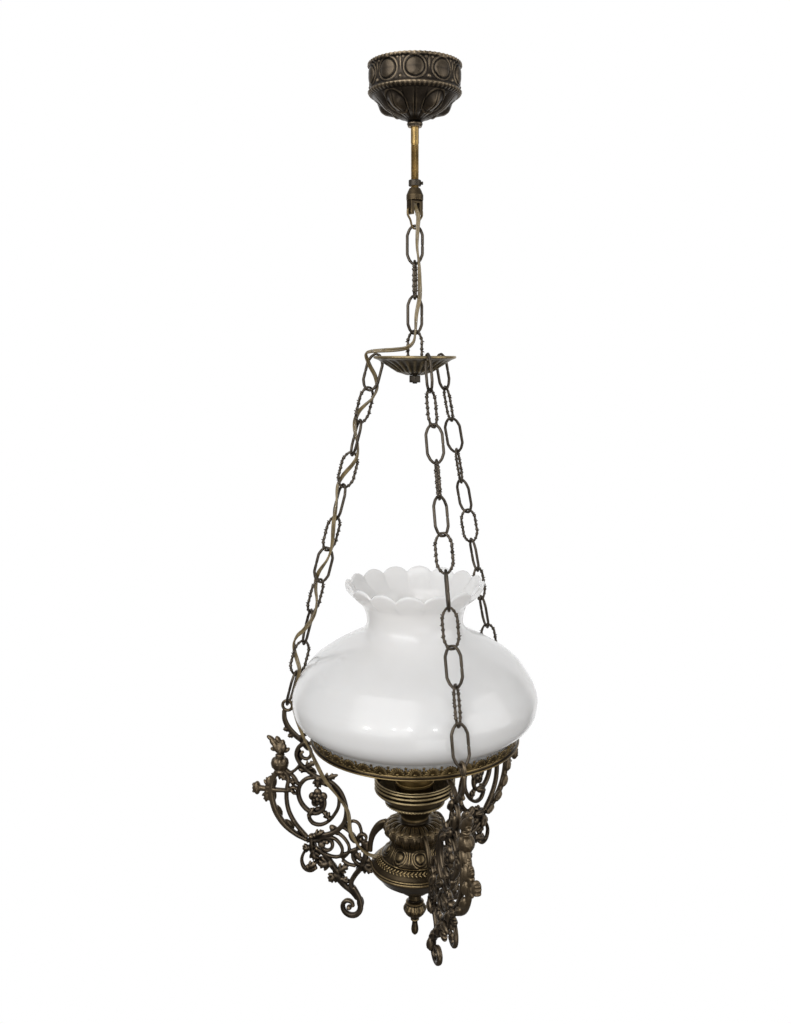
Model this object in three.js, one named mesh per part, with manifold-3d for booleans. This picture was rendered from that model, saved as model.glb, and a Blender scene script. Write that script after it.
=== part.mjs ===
// A hanging kerosene lamp, wired for electric light, in millimetres with +Z up.
// The origin is the middle of the ceiling bracket's top face, where it meets the ceiling.
import * as THREE from "three";
import { mergeVertices } from "three/addons/utils/BufferGeometryUtils.js";
import Module from "manifold-3d";

const wasm = await Module();
wasm.setup();

// Clearances.
const FIT = 0.3;
const SLIDING_FIT = 0.5;

// The flex and the stem that it comes down through.
const FLEX_RADIUS = 2.2;
const FLEX_ROOM = 0.6;
const STEM_WALL = 1.2;
const STEM_LENGTH = 102;
const STEM_BORE = FLEX_RADIUS + FLEX_ROOM;
const STEM_RADIUS = STEM_BORE + STEM_WALL;

// The chain: one link size for the upper chain and the three lower ones.
const WIRE = 1.2;
const LINK_HALF_WIDTH = 7.8;
const LINK_SHOULDER = 9.5;
const LINK_END = 2.4;
const LINK_NECK = [5.6, 3.7];
const PITCH = 34.573;
const CROSSING = 2 * WIRE + FIT;
const LINK_LENGTH = PITCH + CROSSING;
const UPPER_LINKS = 5;
const LOWER_LINKS = 11;

// Where the three lower chains run, as directions seen from above, in degrees.
const ARMS = { front: 18, left: -102, back: 138 };
const CHAIN_TOP_RADIUS = 39;
const CHAIN_TOP_RISE = 1.6;
const SHADE_BELLY_RADIUS = 125.2;
const EYE_OUT_OF_SHADE = 12.4;
const EYE_RADIUS = SHADE_BELLY_RADIUS + EYE_OUT_OF_SHADE;
const EYE_RISE = 24.3;
const SPREADER_EYE_DROP = 9.5;

// Levels: the yoke's pins, the spreader's rim and the gallery's seat, below the ceiling.
const PINS_OVER_CHAIN = 17.2;
const STEM_OVER_PINS = 12;
const STEM_UNDER_CEILING = 26;
const PIN_Z = -(STEM_UNDER_CEILING + STEM_LENGTH + STEM_OVER_PINS);
const RIM_Z = PIN_Z - PINS_OVER_CHAIN - (UPPER_LINKS - 1) * PITCH + SPREADER_EYE_DROP;
const CHAIN_RUN = EYE_RADIUS - CHAIN_TOP_RADIUS;
const CHAIN_FALL = Math.sqrt((LOWER_LINKS * PITCH) ** 2 - CHAIN_RUN ** 2);
const SEAT_Z = RIM_Z + CHAIN_TOP_RISE - CHAIN_FALL - EYE_RISE;

const group = new THREE.Group();

// Finishes.
const finish = (color, roughness, metalness) =>
  new THREE.MeshStandardMaterial({ color, roughness, metalness });
const DARK_BRONZE = finish(0x40362b, 0.5, 0.9);
const OLD_BRASS = finish(0x6b5a35, 0.45, 0.9);
const BRIGHT_BRASS = finish(0xb08d45, 0.35, 1);
const STEEL = finish(0x55524d, 0.45, 0.9);
const OPAL = finish(0xe9e6e1, 0.18, 0);
const CLEAR_GLASS = finish(0xf2f0ea, 0.08, 0);
const FLEX_GOLD = finish(0xa79a5c, 0.4, 0);

function add(name, geometry, material, level = 0) {
  const mesh = new THREE.Mesh(geometry, material);
  mesh.name = name;
  mesh.position.z = level;
  group.add(mesh);
  return mesh;
}

// Turns a closed geometry into a solid that can be joined and cut.
function solid(geometry) {
  const bare = geometry.clone();
  bare.deleteAttribute("normal");
  bare.deleteAttribute("uv");
  const merged = mergeVertices(bare, 1e-4);
  const triVerts = new Uint32Array(merged.index.array);
  const vertProperties = merged.attributes.position.array;
  return new wasm.Manifold(new wasm.Mesh({ numProp: 3, vertProperties, triVerts }));
}

// Turns a joined or cut solid back into a geometry.
function shape(body) {
  const { vertProperties, triVerts } = body.getMesh();
  const geometry = new THREE.BufferGeometry();
  geometry.setAttribute("position", new THREE.BufferAttribute(vertProperties, 3));
  geometry.setIndex(new THREE.BufferAttribute(triVerts, 1));
  const flat = geometry.toNonIndexed();
  flat.computeVertexNormals();
  return flat;
}

// A turned piece: [radius, height] points, up the outside and back down the inside.
function turned(profile, segments) {
  const points = profile.map(([radius, height]) => new THREE.Vector2(radius, height));
  const closesOnItself = profile[0][0] > 0;
  if (closesOnItself) points.push(points[0].clone());
  return new THREE.LatheGeometry(points, segments).rotateX(Math.PI / 2);
}

// A bored disc that rises from its low to its high level.
function ring(inner, outer, low, high, segments) {
  return turned([[inner, low], [outer, low], [outer, high], [inner, high]], segments);
}

// An upright peg, for bores and shanks.
function peg(radius, low, high, sides) {
  const geometry = new THREE.CylinderGeometry(radius, radius, high - low, sides);
  return geometry.rotateX(Math.PI / 2).translate(0, 0, (high + low) / 2);
}

// A peg lying along X.
function crossPeg(radius, left, right, level, sides) {
  const geometry = new THREE.CylinderGeometry(radius, radius, right - left, sides);
  return geometry.rotateZ(Math.PI / 2).translate((left + right) / 2, 0, level);
}

function box(x, y, z, centre) {
  return new THREE.BoxGeometry(x, y, z).translate(...centre);
}

// A round bar with mitred corners along flat [across, up] corners in the XZ plane.
function wire(corners, radius, closed, sides = 5) {
  const count = corners.length;
  const positions = [];
  const faces = [];
  corners.forEach(([x, z], i) => {
    const before = corners[closed ? (i + count - 1) % count : Math.max(i - 1, 0)];
    const after = corners[closed ? (i + 1) % count : Math.min(i + 1, count - 1)];
    const inward = new THREE.Vector2(x - before[0], z - before[1]).normalize();
    const onward = new THREE.Vector2(after[0] - x, after[1] - z).normalize();
    const along = inward.clone().add(onward).normalize();
    const halfBend = along.dot(inward.lengthSq() > 0 ? inward : onward);
    const reach = radius / Math.max(halfBend, 0.5);
    for (let side = 0; side < sides; side++) {
      const angle = ((side + 0.5) / sides) * 2 * Math.PI;
      const outward = Math.cos(angle) * reach;
      positions.push(x + along.y * outward, Math.sin(angle) * radius, z - along.x * outward);
    }
  });
  const rings = closed ? count : count - 1;
  for (let i = 0; i < rings; i++) {
    for (let side = 0; side < sides; side++) {
      const a = i * sides + side;
      const b = i * sides + ((side + 1) % sides);
      const c = ((i + 1) % count) * sides + side;
      const d = ((i + 1) % count) * sides + ((side + 1) % sides);
      faces.push(a, b, d, a, d, c);
    }
  }
  if (!closed) {
    const last = (count - 1) * sides;
    for (let side = 1; side < sides - 1; side++) {
      faces.push(0, side + 1, side, last, last + side, last + side + 1);
    }
  }
  const geometry = new THREE.BufferGeometry();
  geometry.setAttribute("position", new THREE.Float32BufferAttribute(positions, 3));
  geometry.setIndex(faces);
  const flat = geometry.toNonIndexed();
  flat.computeVertexNormals();
  return flat;
}

// A round cord along hand-placed points.
function cord(points, radius, steps) {
  const sides = 8;
  const outline = new THREE.Shape();
  for (let side = 0; side < sides; side++) {
    const angle = (side / sides) * 2 * Math.PI;
    const corner = [radius * Math.cos(angle), radius * Math.sin(angle)];
    if (side === 0) outline.moveTo(...corner);
    else outline.lineTo(...corner);
  }
  const extrudePath = new THREE.CatmullRomCurve3(points, false, "centripetal");
  return new THREE.ExtrudeGeometry(outline, { steps, extrudePath, bevelEnabled: false });
}

// Ceiling bracket: a bar screwed to the ceiling, and under it a stirrup that holds the stem.
const BAR_LENGTH = 76;
const BAR_WIDTH = 18;
const BAR_THICKNESS = 3;
const BAR_SCREW_REACH = 30;
const BAR_SCREW_RADIUS = 2.5;
const CABLE_REACH = 14;
const STIRRUP_REACH = 22;
const WEB_Z = -(STEM_UNDER_CEILING + 1);

function ceilingBracket() {
  const plate = (length, width, x, low) =>
    solid(box(length, width, BAR_THICKNESS, [x, 0, low + BAR_THICKNESS / 2]));
  const legHeight = -WEB_Z + BAR_THICKNESS - 1;
  const leg = (side) =>
    solid(
      box(BAR_THICKNESS, BAR_WIDTH, legHeight, [side * STIRRUP_REACH, 0, -1 - legHeight / 2]),
    );
  const webLength = 2 * STIRRUP_REACH + BAR_THICKNESS;
  const bore = (radius, x, low, high) => solid(peg(radius, low, high, 24).translate(x, 0, 0));
  const through = BAR_THICKNESS + 1;
  return plate(BAR_LENGTH, BAR_WIDTH, 0, -BAR_THICKNESS)
    .add(leg(-1))
    .add(leg(1))
    .add(plate(webLength, BAR_WIDTH, 0, WEB_Z - BAR_THICKNESS))
    .subtract(bore(BAR_SCREW_RADIUS, -BAR_SCREW_REACH, -through, 1))
    .subtract(bore(BAR_SCREW_RADIUS, BAR_SCREW_REACH, -through, 1))
    .subtract(bore(FLEX_RADIUS + 1.3, CABLE_REACH, -through, 1))
    .subtract(bore(STEM_RADIUS + FIT, 0, WEB_Z - through, WEB_Z + 1));
}
add("ceiling_bracket", shape(ceilingBracket()), STEEL);

// Ceiling rose: a cast shell of two tiers that slides on the stem.
const CANOPY_RADIUS = 46;
const CANOPY_WALL = 2.4;
const CANOPY_HEIGHT = 60;
const CANOPY_TIER = 27;

function canopy() {
  const neck = STEM_RADIUS + SLIDING_FIT;
  const tier = -CANOPY_TIER;
  const foot = -CANOPY_HEIGHT;
  const outer = [
    [neck, foot],
    [neck + 2.2, foot],
    [neck + 3.4, foot + 3],
    [neck + 2.6, foot + 5],
    [11, foot + 7.5],
    [19, foot + 11.5],
    [29, foot + 18],
    [37, foot + 25],
    [41.5, tier - 4],
    [CANOPY_RADIUS - 1, tier - 2],
    [CANOPY_RADIUS, tier],
    [CANOPY_RADIUS - 1.8, tier + 3],
    [CANOPY_RADIUS - 2.4, tier / 2],
    [CANOPY_RADIUS - 1.6, -3.5],
    [CANOPY_RADIUS, -2],
    [CANOPY_RADIUS, -FIT],
  ];
  const inner = [
    [CANOPY_RADIUS - 2 - CANOPY_WALL, -FIT],
    [CANOPY_RADIUS - 2.4 - CANOPY_WALL, tier / 2],
    [CANOPY_RADIUS - 2.6 - CANOPY_WALL, tier],
    [37 - CANOPY_WALL, foot + 27],
    [29 - CANOPY_WALL, foot + 20.5],
    [18, foot + 13.8],
    [neck, foot + 9.5],
  ];
  return turned([...outer, ...inner], 28);
}
add("canopy", canopy(), DARK_BRONZE);

// Stem, and the grip collar that clamps on it with a set screw.
const STEM_TOP_Z = -STEM_UNDER_CEILING;
const STEM_FOOT_Z = STEM_TOP_Z - STEM_LENGTH;
const COLLAR_OVER_PINS = 22.8;
const COLLAR_HEIGHT = 6;
const COLLAR_WALL = 1.9;
const SET_SCREW_RADIUS = 1.6;

add("stem", ring(STEM_BORE, STEM_RADIUS, STEM_FOOT_Z, STEM_TOP_Z, 24), BRIGHT_BRASS);

function collar() {
  const low = PIN_Z + COLLAR_OVER_PINS;
  const middle = low + COLLAR_HEIGHT / 2;
  const inner = STEM_RADIUS + FIT;
  const outer = inner + COLLAR_WALL;
  const body = solid(ring(inner, outer, low, low + COLLAR_HEIGHT, 24));
  const screw = crossPeg(SET_SCREW_RADIUS, inner + COLLAR_WALL / 2, outer + 2, middle, 12);
  return body.add(solid(screw));
}
add("collar", shape(collar()), STEEL);

// Yoke: a small bell with two legs at the stem's foot, bored for the bail's ends.
const YOKE_TURN = 40;
const YOKE_RADIUS = 8.5;
const YOKE_SLOT = 3.6;
const YOKE_LEG = 7.6;
const BAIL_WIRE = 1.1;

function yoke() {
  const bell = turned(
    [
      [0, PIN_Z - 5],
      [YOKE_LEG, PIN_Z - 5],
      [YOKE_RADIUS, PIN_Z + 1],
      [YOKE_RADIUS, PIN_Z + 14],
      [STEM_RADIUS + 2.6, PIN_Z + 18.5],
      [STEM_RADIUS + 1.3, PIN_Z + 21],
      [0, PIN_Z + 21],
    ],
    32,
  );
  const arch = PIN_Z + 6.5;
  const low = PIN_Z - 6;
  const slot = box(2 * YOKE_SLOT, 30, arch - low, [0, 0, (arch + low) / 2]);
  const trim = (side) => box(30, 10, 14, [0, side * (YOKE_SLOT + 5), PIN_Z + 2]);
  const cheek = (side) => box(10, 30, 14, [side * (YOKE_LEG + 5), 0, PIN_Z + 2]);
  const pinBore = crossPeg(BAIL_WIRE + FIT, -YOKE_RADIUS - 1, YOKE_RADIUS + 1, PIN_Z, 16);
  const cuts = [
    peg(STEM_RADIUS + FIT, PIN_Z + STEM_OVER_PINS - FIT, PIN_Z + 22, 24),
    peg(STEM_BORE, low, PIN_Z + 22, 24),
    slot,
    trim(-1),
    trim(1),
    cheek(-1),
    cheek(1),
    pinBore,
  ];
  return cuts.reduce((body, cut) => body.subtract(solid(cut)), solid(bell));
}
add("yoke", shape(yoke()).rotateZ(THREE.MathUtils.degToRad(YOKE_TURN)), OLD_BRASS);

// Bail: the wire shackle that hangs in the yoke's legs and carries the upper chain.
function bail() {
  const bottom = PIN_Z - PINS_OVER_CHAIN - CROSSING / 2;
  const outside = YOKE_LEG + FIT + BAIL_WIRE + 0.3;
  const half = [
    [YOKE_SLOT + 0.4, PIN_Z],
    [outside - 0.9, PIN_Z],
    [outside, PIN_Z - 0.9],
    [outside, PIN_Z - 5.6],
    [5.8, PIN_Z - 10.2],
    [4.2, bottom + 3],
    [LINK_END - 0.4, bottom],
  ];
  const other = half.map(([x, z]) => [-x, z]).reverse();
  return wire([...half, ...other], BAIL_WIRE, false, 8);
}
add("bail", bail().rotateZ(THREE.MathUtils.degToRad(YOKE_TURN)), OLD_BRASS);

// One chain link, upright, with its middle at the origin and its flat side facing Y.
function link() {
  const half = LINK_LENGTH / 2;
  const quarter = [
    [LINK_END, half],
    [LINK_NECK[0], half - LINK_NECK[1]],
    [LINK_HALF_WIDTH, LINK_SHOULDER],
  ];
  const mirrored = (x, z) => quarter.map(([across, up]) => [x * across, z * up]);
  const corners = [
    ...mirrored(1, 1),
    ...mirrored(1, -1).reverse(),
    ...mirrored(-1, -1),
    ...mirrored(-1, 1).reverse(),
  ];
  return wire(corners.reverse(), WIRE, true);
}

// Upper chain: links two to five below the bail, each turned about the chain's line.
const UPPER_TURNS = [-15, 82, 27, -28];
const EYE_TURN = 60;

UPPER_TURNS.forEach((turn, i) => {
  const top = PIN_Z - PINS_OVER_CHAIN - i * PITCH + CROSSING / 2;
  const name = `upper_link_${i + 2}`;
  const mesh = add(name, link(), OLD_BRASS, top - LINK_LENGTH / 2);
  mesh.rotation.z = THREE.MathUtils.degToRad(turn);
});

// Spreader: a fluted dish with a rolled rim, drilled for the three lower chains.
const RIM_RADIUS = 41.5;
const RIM_HALF = 1.4;
const DISH_FLOOR = -15.9;
const DISH_WALL = 2;
const CHAIN_HOLE_PLACE = 34.3;
const CHAIN_HOLE_RADIUS = 2.9;
const EYE_SHANK = 2.5;

function spreader() {
  const bore = EYE_SHANK + FIT;
  const dish = turned(
    [
      [bore, DISH_FLOOR - DISH_WALL],
      [8, DISH_FLOOR - DISH_WALL],
      [18, -14.5],
      [26, -9],
      [33, -4.8],
      [37, -2.6],
      [RIM_RADIUS - 1, -RIM_HALF],
      [RIM_RADIUS, -0.8],
      [RIM_RADIUS, 0.8],
      [RIM_RADIUS - 0.8, RIM_HALF],
      [RIM_RADIUS - 2.5, RIM_HALF],
      [37.2, 0.4],
      [33, -2.4],
      [26, -6.8],
      [18, -12.6],
      [8, DISH_FLOOR],
      [bore, DISH_FLOOR],
    ],
    30,
  );
  const hole = (bearing) =>
    peg(CHAIN_HOLE_RADIUS, -8, 4, 16)
      .translate(0, -CHAIN_HOLE_PLACE, 0)
      .rotateZ(THREE.MathUtils.degToRad(bearing));
  return Object.values(ARMS).reduce((body, arm) => body.subtract(solid(hole(arm))), solid(dish));
}
add("spreader", shape(spreader()), OLD_BRASS, RIM_Z);

// Eye bolt through the dish, and its nut underneath.
const EYE_RING = 3;
const NUT_FLATS = 11;
const NUT_HEIGHT = 7;

function eyeBolt() {
  const middle = -SPREADER_EYE_DROP + CROSSING / 2 - EYE_RING;
  const eye = new THREE.TorusGeometry(EYE_RING, WIRE, 8, 20).rotateX(Math.PI / 2);
  const foot = DISH_FLOOR - DISH_WALL - NUT_HEIGHT - 1.5;
  const shank = peg(EYE_SHANK, foot, middle - EYE_RING, 16);
  return solid(eye.translate(0, 0, middle)).add(solid(shank));
}
const eyeBoltMesh = add("eye_bolt", shape(eyeBolt()), STEEL, RIM_Z);
eyeBoltMesh.rotation.z = THREE.MathUtils.degToRad(EYE_TURN);

function nut() {
  const corner = NUT_FLATS / Math.sqrt(3);
  const outline = new THREE.Shape();
  for (let side = 0; side < 6; side++) {
    const angle = (side * Math.PI) / 3;
    const point = [corner * Math.cos(angle), corner * Math.sin(angle)];
    if (side === 0) outline.moveTo(...point);
    else outline.lineTo(...point);
  }
  const bore = new THREE.Path().absarc(0, 0, EYE_SHANK + FIT, 0, 2 * Math.PI, true);
  outline.holes.push(bore);
  const options = { depth: NUT_HEIGHT, bevelEnabled: false, curveSegments: 12 };
  const top = DISH_FLOOR - DISH_WALL - FIT;
  return new THREE.ExtrudeGeometry(outline, options).translate(0, 0, top - NUT_HEIGHT);
}
add("eye_nut", nut(), STEEL, RIM_Z);

// Lower chains: eleven links each, from the rim's holes down and out to the brackets' eyes.
const CHAIN_LEAN = Math.atan2(CHAIN_RUN, CHAIN_FALL);
const LOWER_TURNS = {
  front: [0, 130, 75, -10, 110, 60, -15, 97, 47, -35, 90],
  left: [0, 50, -60, 20, -50, 52, 0, 60, -60, 33, 90],
  back: [0, 60, 120, 30, 90, 150, 60, 0, 60, -30, 90],
};

// A frame at a chain's top: +Z up the chain, +X outwards, turned to the chain's bearing.
function chainFrame(bearing) {
  const frame = new THREE.Group();
  frame.rotation.order = "ZYX";
  frame.rotation.z = THREE.MathUtils.degToRad(bearing - 90);
  frame.rotation.y = -CHAIN_LEAN;
  const top = new THREE.Vector3(CHAIN_TOP_RADIUS, 0, CHAIN_TOP_RISE + RIM_Z);
  frame.position.copy(top.applyAxisAngle(new THREE.Vector3(0, 0, 1), frame.rotation.z));
  frame.updateMatrix();
  return frame;
}

Object.entries(ARMS).forEach(([side, bearing]) => {
  const frame = chainFrame(bearing);
  group.add(frame);
  LOWER_TURNS[side].forEach((turn, i) => {
    const number = String(i + 1).padStart(2, "0");
    const mesh = new THREE.Mesh(link(), OLD_BRASS);
    mesh.name = `${side}_link_${number}`;
    mesh.position.z = CROSSING / 2 - i * PITCH - LINK_LENGTH / 2;
    mesh.rotation.z = THREE.MathUtils.degToRad(turn);
    frame.add(mesh);
  });
});

// Shade: opal glass, a wide belly on the gallery and a scalloped mouth at the neck.
const SHADE_WALL = 3;
const SCALLOPS = 16;
const SCALLOP_DEPTH = 3.2;
const SCALLOP_ROOT = 143;
const SHADE_SEGMENTS = 3 * SCALLOPS;
const SHADE_FOOT_RADIUS = 101.5;
const SHADE_NECK_RADIUS = 49.4;
const SHADE_MOUTH_RADIUS = 71;
const SHADE_HEIGHT = 162;

// The shade's curves, as [share of the way from one radius to the next, height].
const SHADE_UNDER = [[0.33, 15.2], [0.72, 22.5], [1, 37], [1, 46]];
const SHADE_OVER = [[0.945, 57], [0.865, 66.5], [0.78, 76.5], [0.615, 87.2], [0.417, 96.5]];
const SHADE_SHOULDER = [[0.278, 102], [0.087, 109], [0, 119]];
const SHADE_MOUTH = [[0.01, 126], [0.102, 134.5], [0.278, 141], [0.718, 149.4]];

function shade() {
  const between = (from, to, course) =>
    course.map(([share, height]) => [from + share * (to - from), height]);
  const outer = [
    [SHADE_FOOT_RADIUS, FIT],
    [SHADE_FOOT_RADIUS + 0.2, 7],
    [SHADE_FOOT_RADIUS + 2, 11],
    ...between(SHADE_FOOT_RADIUS + 2, SHADE_BELLY_RADIUS, SHADE_UNDER),
    ...between(SHADE_NECK_RADIUS, SHADE_BELLY_RADIUS, [...SHADE_OVER, ...SHADE_SHOULDER]),
    ...between(SHADE_NECK_RADIUS, SHADE_MOUTH_RADIUS, SHADE_MOUTH),
    [SHADE_MOUTH_RADIUS, SHADE_HEIGHT],
  ];
  const within = (index) => {
    const [r0, z0] = outer[Math.max(index - 1, 0)];
    const [r1, z1] = outer[Math.min(index + 1, outer.length - 1)];
    const run = Math.hypot(r1 - r0, z1 - z0);
    const [radius, height] = outer[index];
    const shift = SHADE_WALL / run;
    return [radius - (z1 - z0) * shift, height + (r1 - r0) * shift];
  };
  const inner = [[SHADE_FOOT_RADIUS - SHADE_WALL, FIT]];
  [2, 4, 6, 8, 10, 12, 13, 14, 16, 18].forEach((index) => inner.push(within(index)));
  inner.push([SHADE_MOUTH_RADIUS - SHADE_WALL, SHADE_HEIGHT]);
  const profile = [...outer, ...inner.reverse()];
  const geometry = turned(profile, SHADE_SEGMENTS);
  const place = geometry.attributes.position;
  for (let i = 0; i < place.count; i++) {
    const height = place.getZ(i);
    const share = Math.max(0, (height - SCALLOP_ROOT) / (SHADE_HEIGHT - SCALLOP_ROOT));
    const angle = Math.atan2(place.getX(i), -place.getY(i));
    const wave = Math.cos(SCALLOPS * angle) - 1;
    place.setZ(i, height + share * 0.5 * SCALLOP_DEPTH * wave);
  }
  geometry.computeVertexNormals();
  return geometry;
}
add("shade", shade(), OPAL, SEAT_Z);

// Gallery: the brass ring that the shade stands in, with its crest as a plain band.
const GALLERY_SEAT = SHADE_FOOT_RADIUS + SLIDING_FIT;
const GALLERY_LIP = 5.5;
const GALLERY_RADIUS = GALLERY_SEAT + GALLERY_LIP;
const GALLERY_FLANGE = 2;
const GALLERY_CREST = 12;
const GALLERY_LEDGE = 10;

function gallery() {
  return turned(
    [
      [SHADE_FOOT_RADIUS - GALLERY_LEDGE, -GALLERY_FLANGE],
      [GALLERY_RADIUS - 0.8, -GALLERY_FLANGE],
      [GALLERY_RADIUS, -GALLERY_FLANGE / 2],
      [GALLERY_RADIUS, 0],
      [GALLERY_SEAT + 3, GALLERY_CREST / 3],
      [GALLERY_SEAT + 6, GALLERY_CREST],
      [GALLERY_SEAT + 4.5, GALLERY_CREST],
      [GALLERY_SEAT + 0.6, GALLERY_CREST / 3],
      [GALLERY_SEAT, 0],
      [SHADE_FOOT_RADIUS - GALLERY_LEDGE, 0],
    ],
    40,
  );
}
add("gallery", gallery(), OLD_BRASS, SEAT_Z);

// Burner cup on the font's neck, and the lampholder and bulb that stand in it.
const CUP_RADIUS = 42;
const CUP_RIM = -44;
const CUP_FOOT = -85;
const CUP_WALL = 2;
const NECK_RADIUS = 14.5;
const HOLDER_BORE = 14.2;
const CAP_RADIUS = 13.2;
const HOLDER_TOP = -36;
const HOLDER_FLOOR = -62;

function burnerCup() {
  const low = CUP_FOOT + FIT / 2;
  return turned(
    [
      [5, low],
      [NECK_RADIUS, low],
      [16.5, -81],
      [20.2, -76.5],
      [26.8, -71],
      [29.3, -69.3],
      [31.8, -65.8],
      [36.4, -61],
      [CUP_RADIUS - 0.5, -56],
      [CUP_RADIUS, CUP_RIM - 2],
      [CUP_RADIUS, CUP_RIM],
      [CUP_RADIUS - CUP_WALL, CUP_RIM],
      [CUP_RADIUS - CUP_WALL - 1, -55],
      [33, -61.5],
      [25.5, -69.5],
      [14.5, -78.5],
      [12, low + CUP_WALL],
      [5, low + CUP_WALL],
    ],
    28,
  );
}
add("burner_cup", burnerCup(), OLD_BRASS, SEAT_Z);

function lampholder() {
  return turned(
    [
      [0, CUP_FOOT + FIT / 2 + CUP_WALL + FIT],
      [10.5, CUP_FOOT + FIT / 2 + CUP_WALL + FIT],
      [13.5, -77],
      [19, -72],
      [19.5, -40],
      [18.5, HOLDER_TOP],
      [HOLDER_BORE, HOLDER_TOP],
      [HOLDER_BORE, HOLDER_FLOOR],
      [0, HOLDER_FLOOR],
    ],
    24,
  );
}
add("lampholder", lampholder(), BRIGHT_BRASS, SEAT_Z);

function bulb() {
  return turned(
    [
      [0, HOLDER_FLOOR + FIT],
      [6, HOLDER_FLOOR + FIT],
      [CAP_RADIUS - 1.5, HOLDER_FLOOR + 3],
      [CAP_RADIUS, HOLDER_FLOOR + 5],
      [CAP_RADIUS, HOLDER_TOP],
      [15, HOLDER_TOP + 6],
      [22, HOLDER_TOP + 22],
      [28, HOLDER_TOP + 37],
      [30, HOLDER_TOP + 50],
      [28.3, HOLDER_TOP + 61],
      [22.5, HOLDER_TOP + 71],
      [12.5, HOLDER_TOP + 78],
      [0, HOLDER_TOP + 80.5],
    ],
    20,
  );
}
add("bulb", bulb(), CLEAR_GLASS, SEAT_Z);

// Font: the hollow oil vessel, with a hole in its left side where the flex goes in.
const FONT_RADIUS = 46.5;
const FONT_FOOT = -169;
const FONT_WALL = 2.5;
const FLEX_ENTRY = -131.4;
const FLEX_BESIDE = 5.5;
const FINIAL_THREAD = 3.5;

function font() {
  const top = CUP_FOOT - FIT / 2;
  const shell = turned(
    [
      [FINIAL_THREAD + FIT, FONT_FOOT],
      [9.8, FONT_FOOT],
      [15, -165.5],
      [22, -159],
      [33, -151.5],
      [37, -149.3],
      [44.7, -140.6],
      [FONT_RADIUS, -137.5],
      [45, -136],
      [40, -131.5],
      [31, -124],
      [24.8, -115],
      [24.9, -111],
      [27, -106],
      [28.4, -100],
      [28.4, -94],
      [25, -92],
      [NECK_RADIUS, -89.5],
      [NECK_RADIUS, top],
      [NECK_RADIUS - FONT_WALL, top],
      [NECK_RADIUS - FONT_WALL, -92.5],
      [24, -96],
      [22.4, -114],
      [29, -126.5],
      [41.5, -136],
      [42.5, -139],
      [32, -149],
      [14, -162.5],
      [8, -164.5],
      [FINIAL_THREAD + FIT, -164.5],
    ],
    26,
  );
  const entry = crossPeg(FLEX_RADIUS + 1, 25, 60, FLEX_ENTRY, 16).translate(0, FLEX_BESIDE, 0);
  entry.rotateZ(THREE.MathUtils.degToRad(ARMS.left - 90));
  return solid(shell).subtract(solid(entry));
}
add("font", shape(font()), OLD_BRASS, SEAT_Z);

// A flat band of even width along [radius, height] points, cut from plate.
function strip(points, width, thickness, perSpan = 1.4) {
  const course = new THREE.SplineCurve(points.map(([r, z]) => new THREE.Vector2(r, z)));
  const samples = Math.round(perSpan * (points.length - 1));
  const sides = [[], []];
  for (let i = 0; i <= samples; i++) {
    const place = course.getPoint(i / samples);
    const way = course.getTangent(i / samples);
    const across = new THREE.Vector2(-way.y, way.x).multiplyScalar(width / 2);
    sides[0].push(place.clone().add(across));
    sides[1].push(place.clone().sub(across));
  }
  return plateFrom(new THREE.Shape([...sides[0], ...sides[1].reverse()]), thickness);
}

// A flat outline in radius and height, stood up in the XZ plane about its middle.
function plateFrom(outline, thickness) {
  const options = { depth: thickness, bevelEnabled: false, curveSegments: 4 };
  const geometry = new THREE.ExtrudeGeometry(outline, options);
  return solid(geometry.rotateX(Math.PI / 2).translate(0, thickness / 2, 0));
}

// A round disc of the plate, with a hole when a bore is given.
function disc(radius, height, size, thickness, bore = 0) {
  const outline = new THREE.Shape().absarc(radius, height, size, 0, 2 * Math.PI, false);
  if (bore > 0) {
    outline.holes.push(new THREE.Path().absarc(radius, height, bore, 0, 2 * Math.PI, true));
  }
  return plateFrom(outline, thickness);
}

// A pointed leaf between two ends.
function leaf([r0, z0], [r1, z1], width, thickness) {
  const along = new THREE.Vector2(r1 - r0, z1 - z0);
  const across = new THREE.Vector2(-along.y, along.x).normalize().multiplyScalar(width / 2);
  const outline = new THREE.Shape([
    new THREE.Vector2(r0, z0),
    new THREE.Vector2(r0 + 0.4 * along.x - across.x, z0 + 0.4 * along.y - across.y),
    new THREE.Vector2(r1, z1),
    new THREE.Vector2(r0 + 0.4 * along.x + across.x, z0 + 0.4 * along.y + across.y),
  ]);
  return plateFrom(outline, thickness);
}

// Cradle: a ring round the font's neck with three strap arms that reach the brackets.
const CRADLE_BORE = 29;
const CRADLE_TOP = -94.5;
const CRADLE_HEIGHT = 5;
const ARM_WIDTH = 3.6;
const ARM_THICKNESS = 5;
const ARM_END = 50;
const BRACKET_FOOT_LEVEL = -125;

function fontCradle() {
  const low = CRADLE_TOP - CRADLE_HEIGHT;
  const hoop = solid(ring(CRADLE_BORE, CRADLE_BORE + 2.6, low, CRADLE_TOP, 36));
  const reach = ARM_END - ARM_WIDTH / 2;
  const arm = (bearing) =>
    strip(
      [
        [CRADLE_BORE + 1, CRADLE_TOP - 2],
        [38, -100.5],
        [45, -109],
        [reach - 0.4, -117],
        [reach, BRACKET_FOOT_LEVEL - 4],
      ],
      ARM_WIDTH,
      ARM_THICKNESS,
      2,
    ).rotate([0, 0, bearing - 90]);
  return Object.values(ARMS).reduce((body, bearing) => body.add(arm(bearing)), hoop);
}
add("font_cradle", shape(fontCradle()), DARK_BRONZE, SEAT_Z);

// Brackets: three flat castings of scrollwork, from the chains' eyes down to the font's arms.
const PLATE = 4.5;
const EYE_PLATE = 3;
const EYE_PLAY = 0.8;
const EYE_BORE = 3.6;
const EYE_OUTER = 7;

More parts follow.
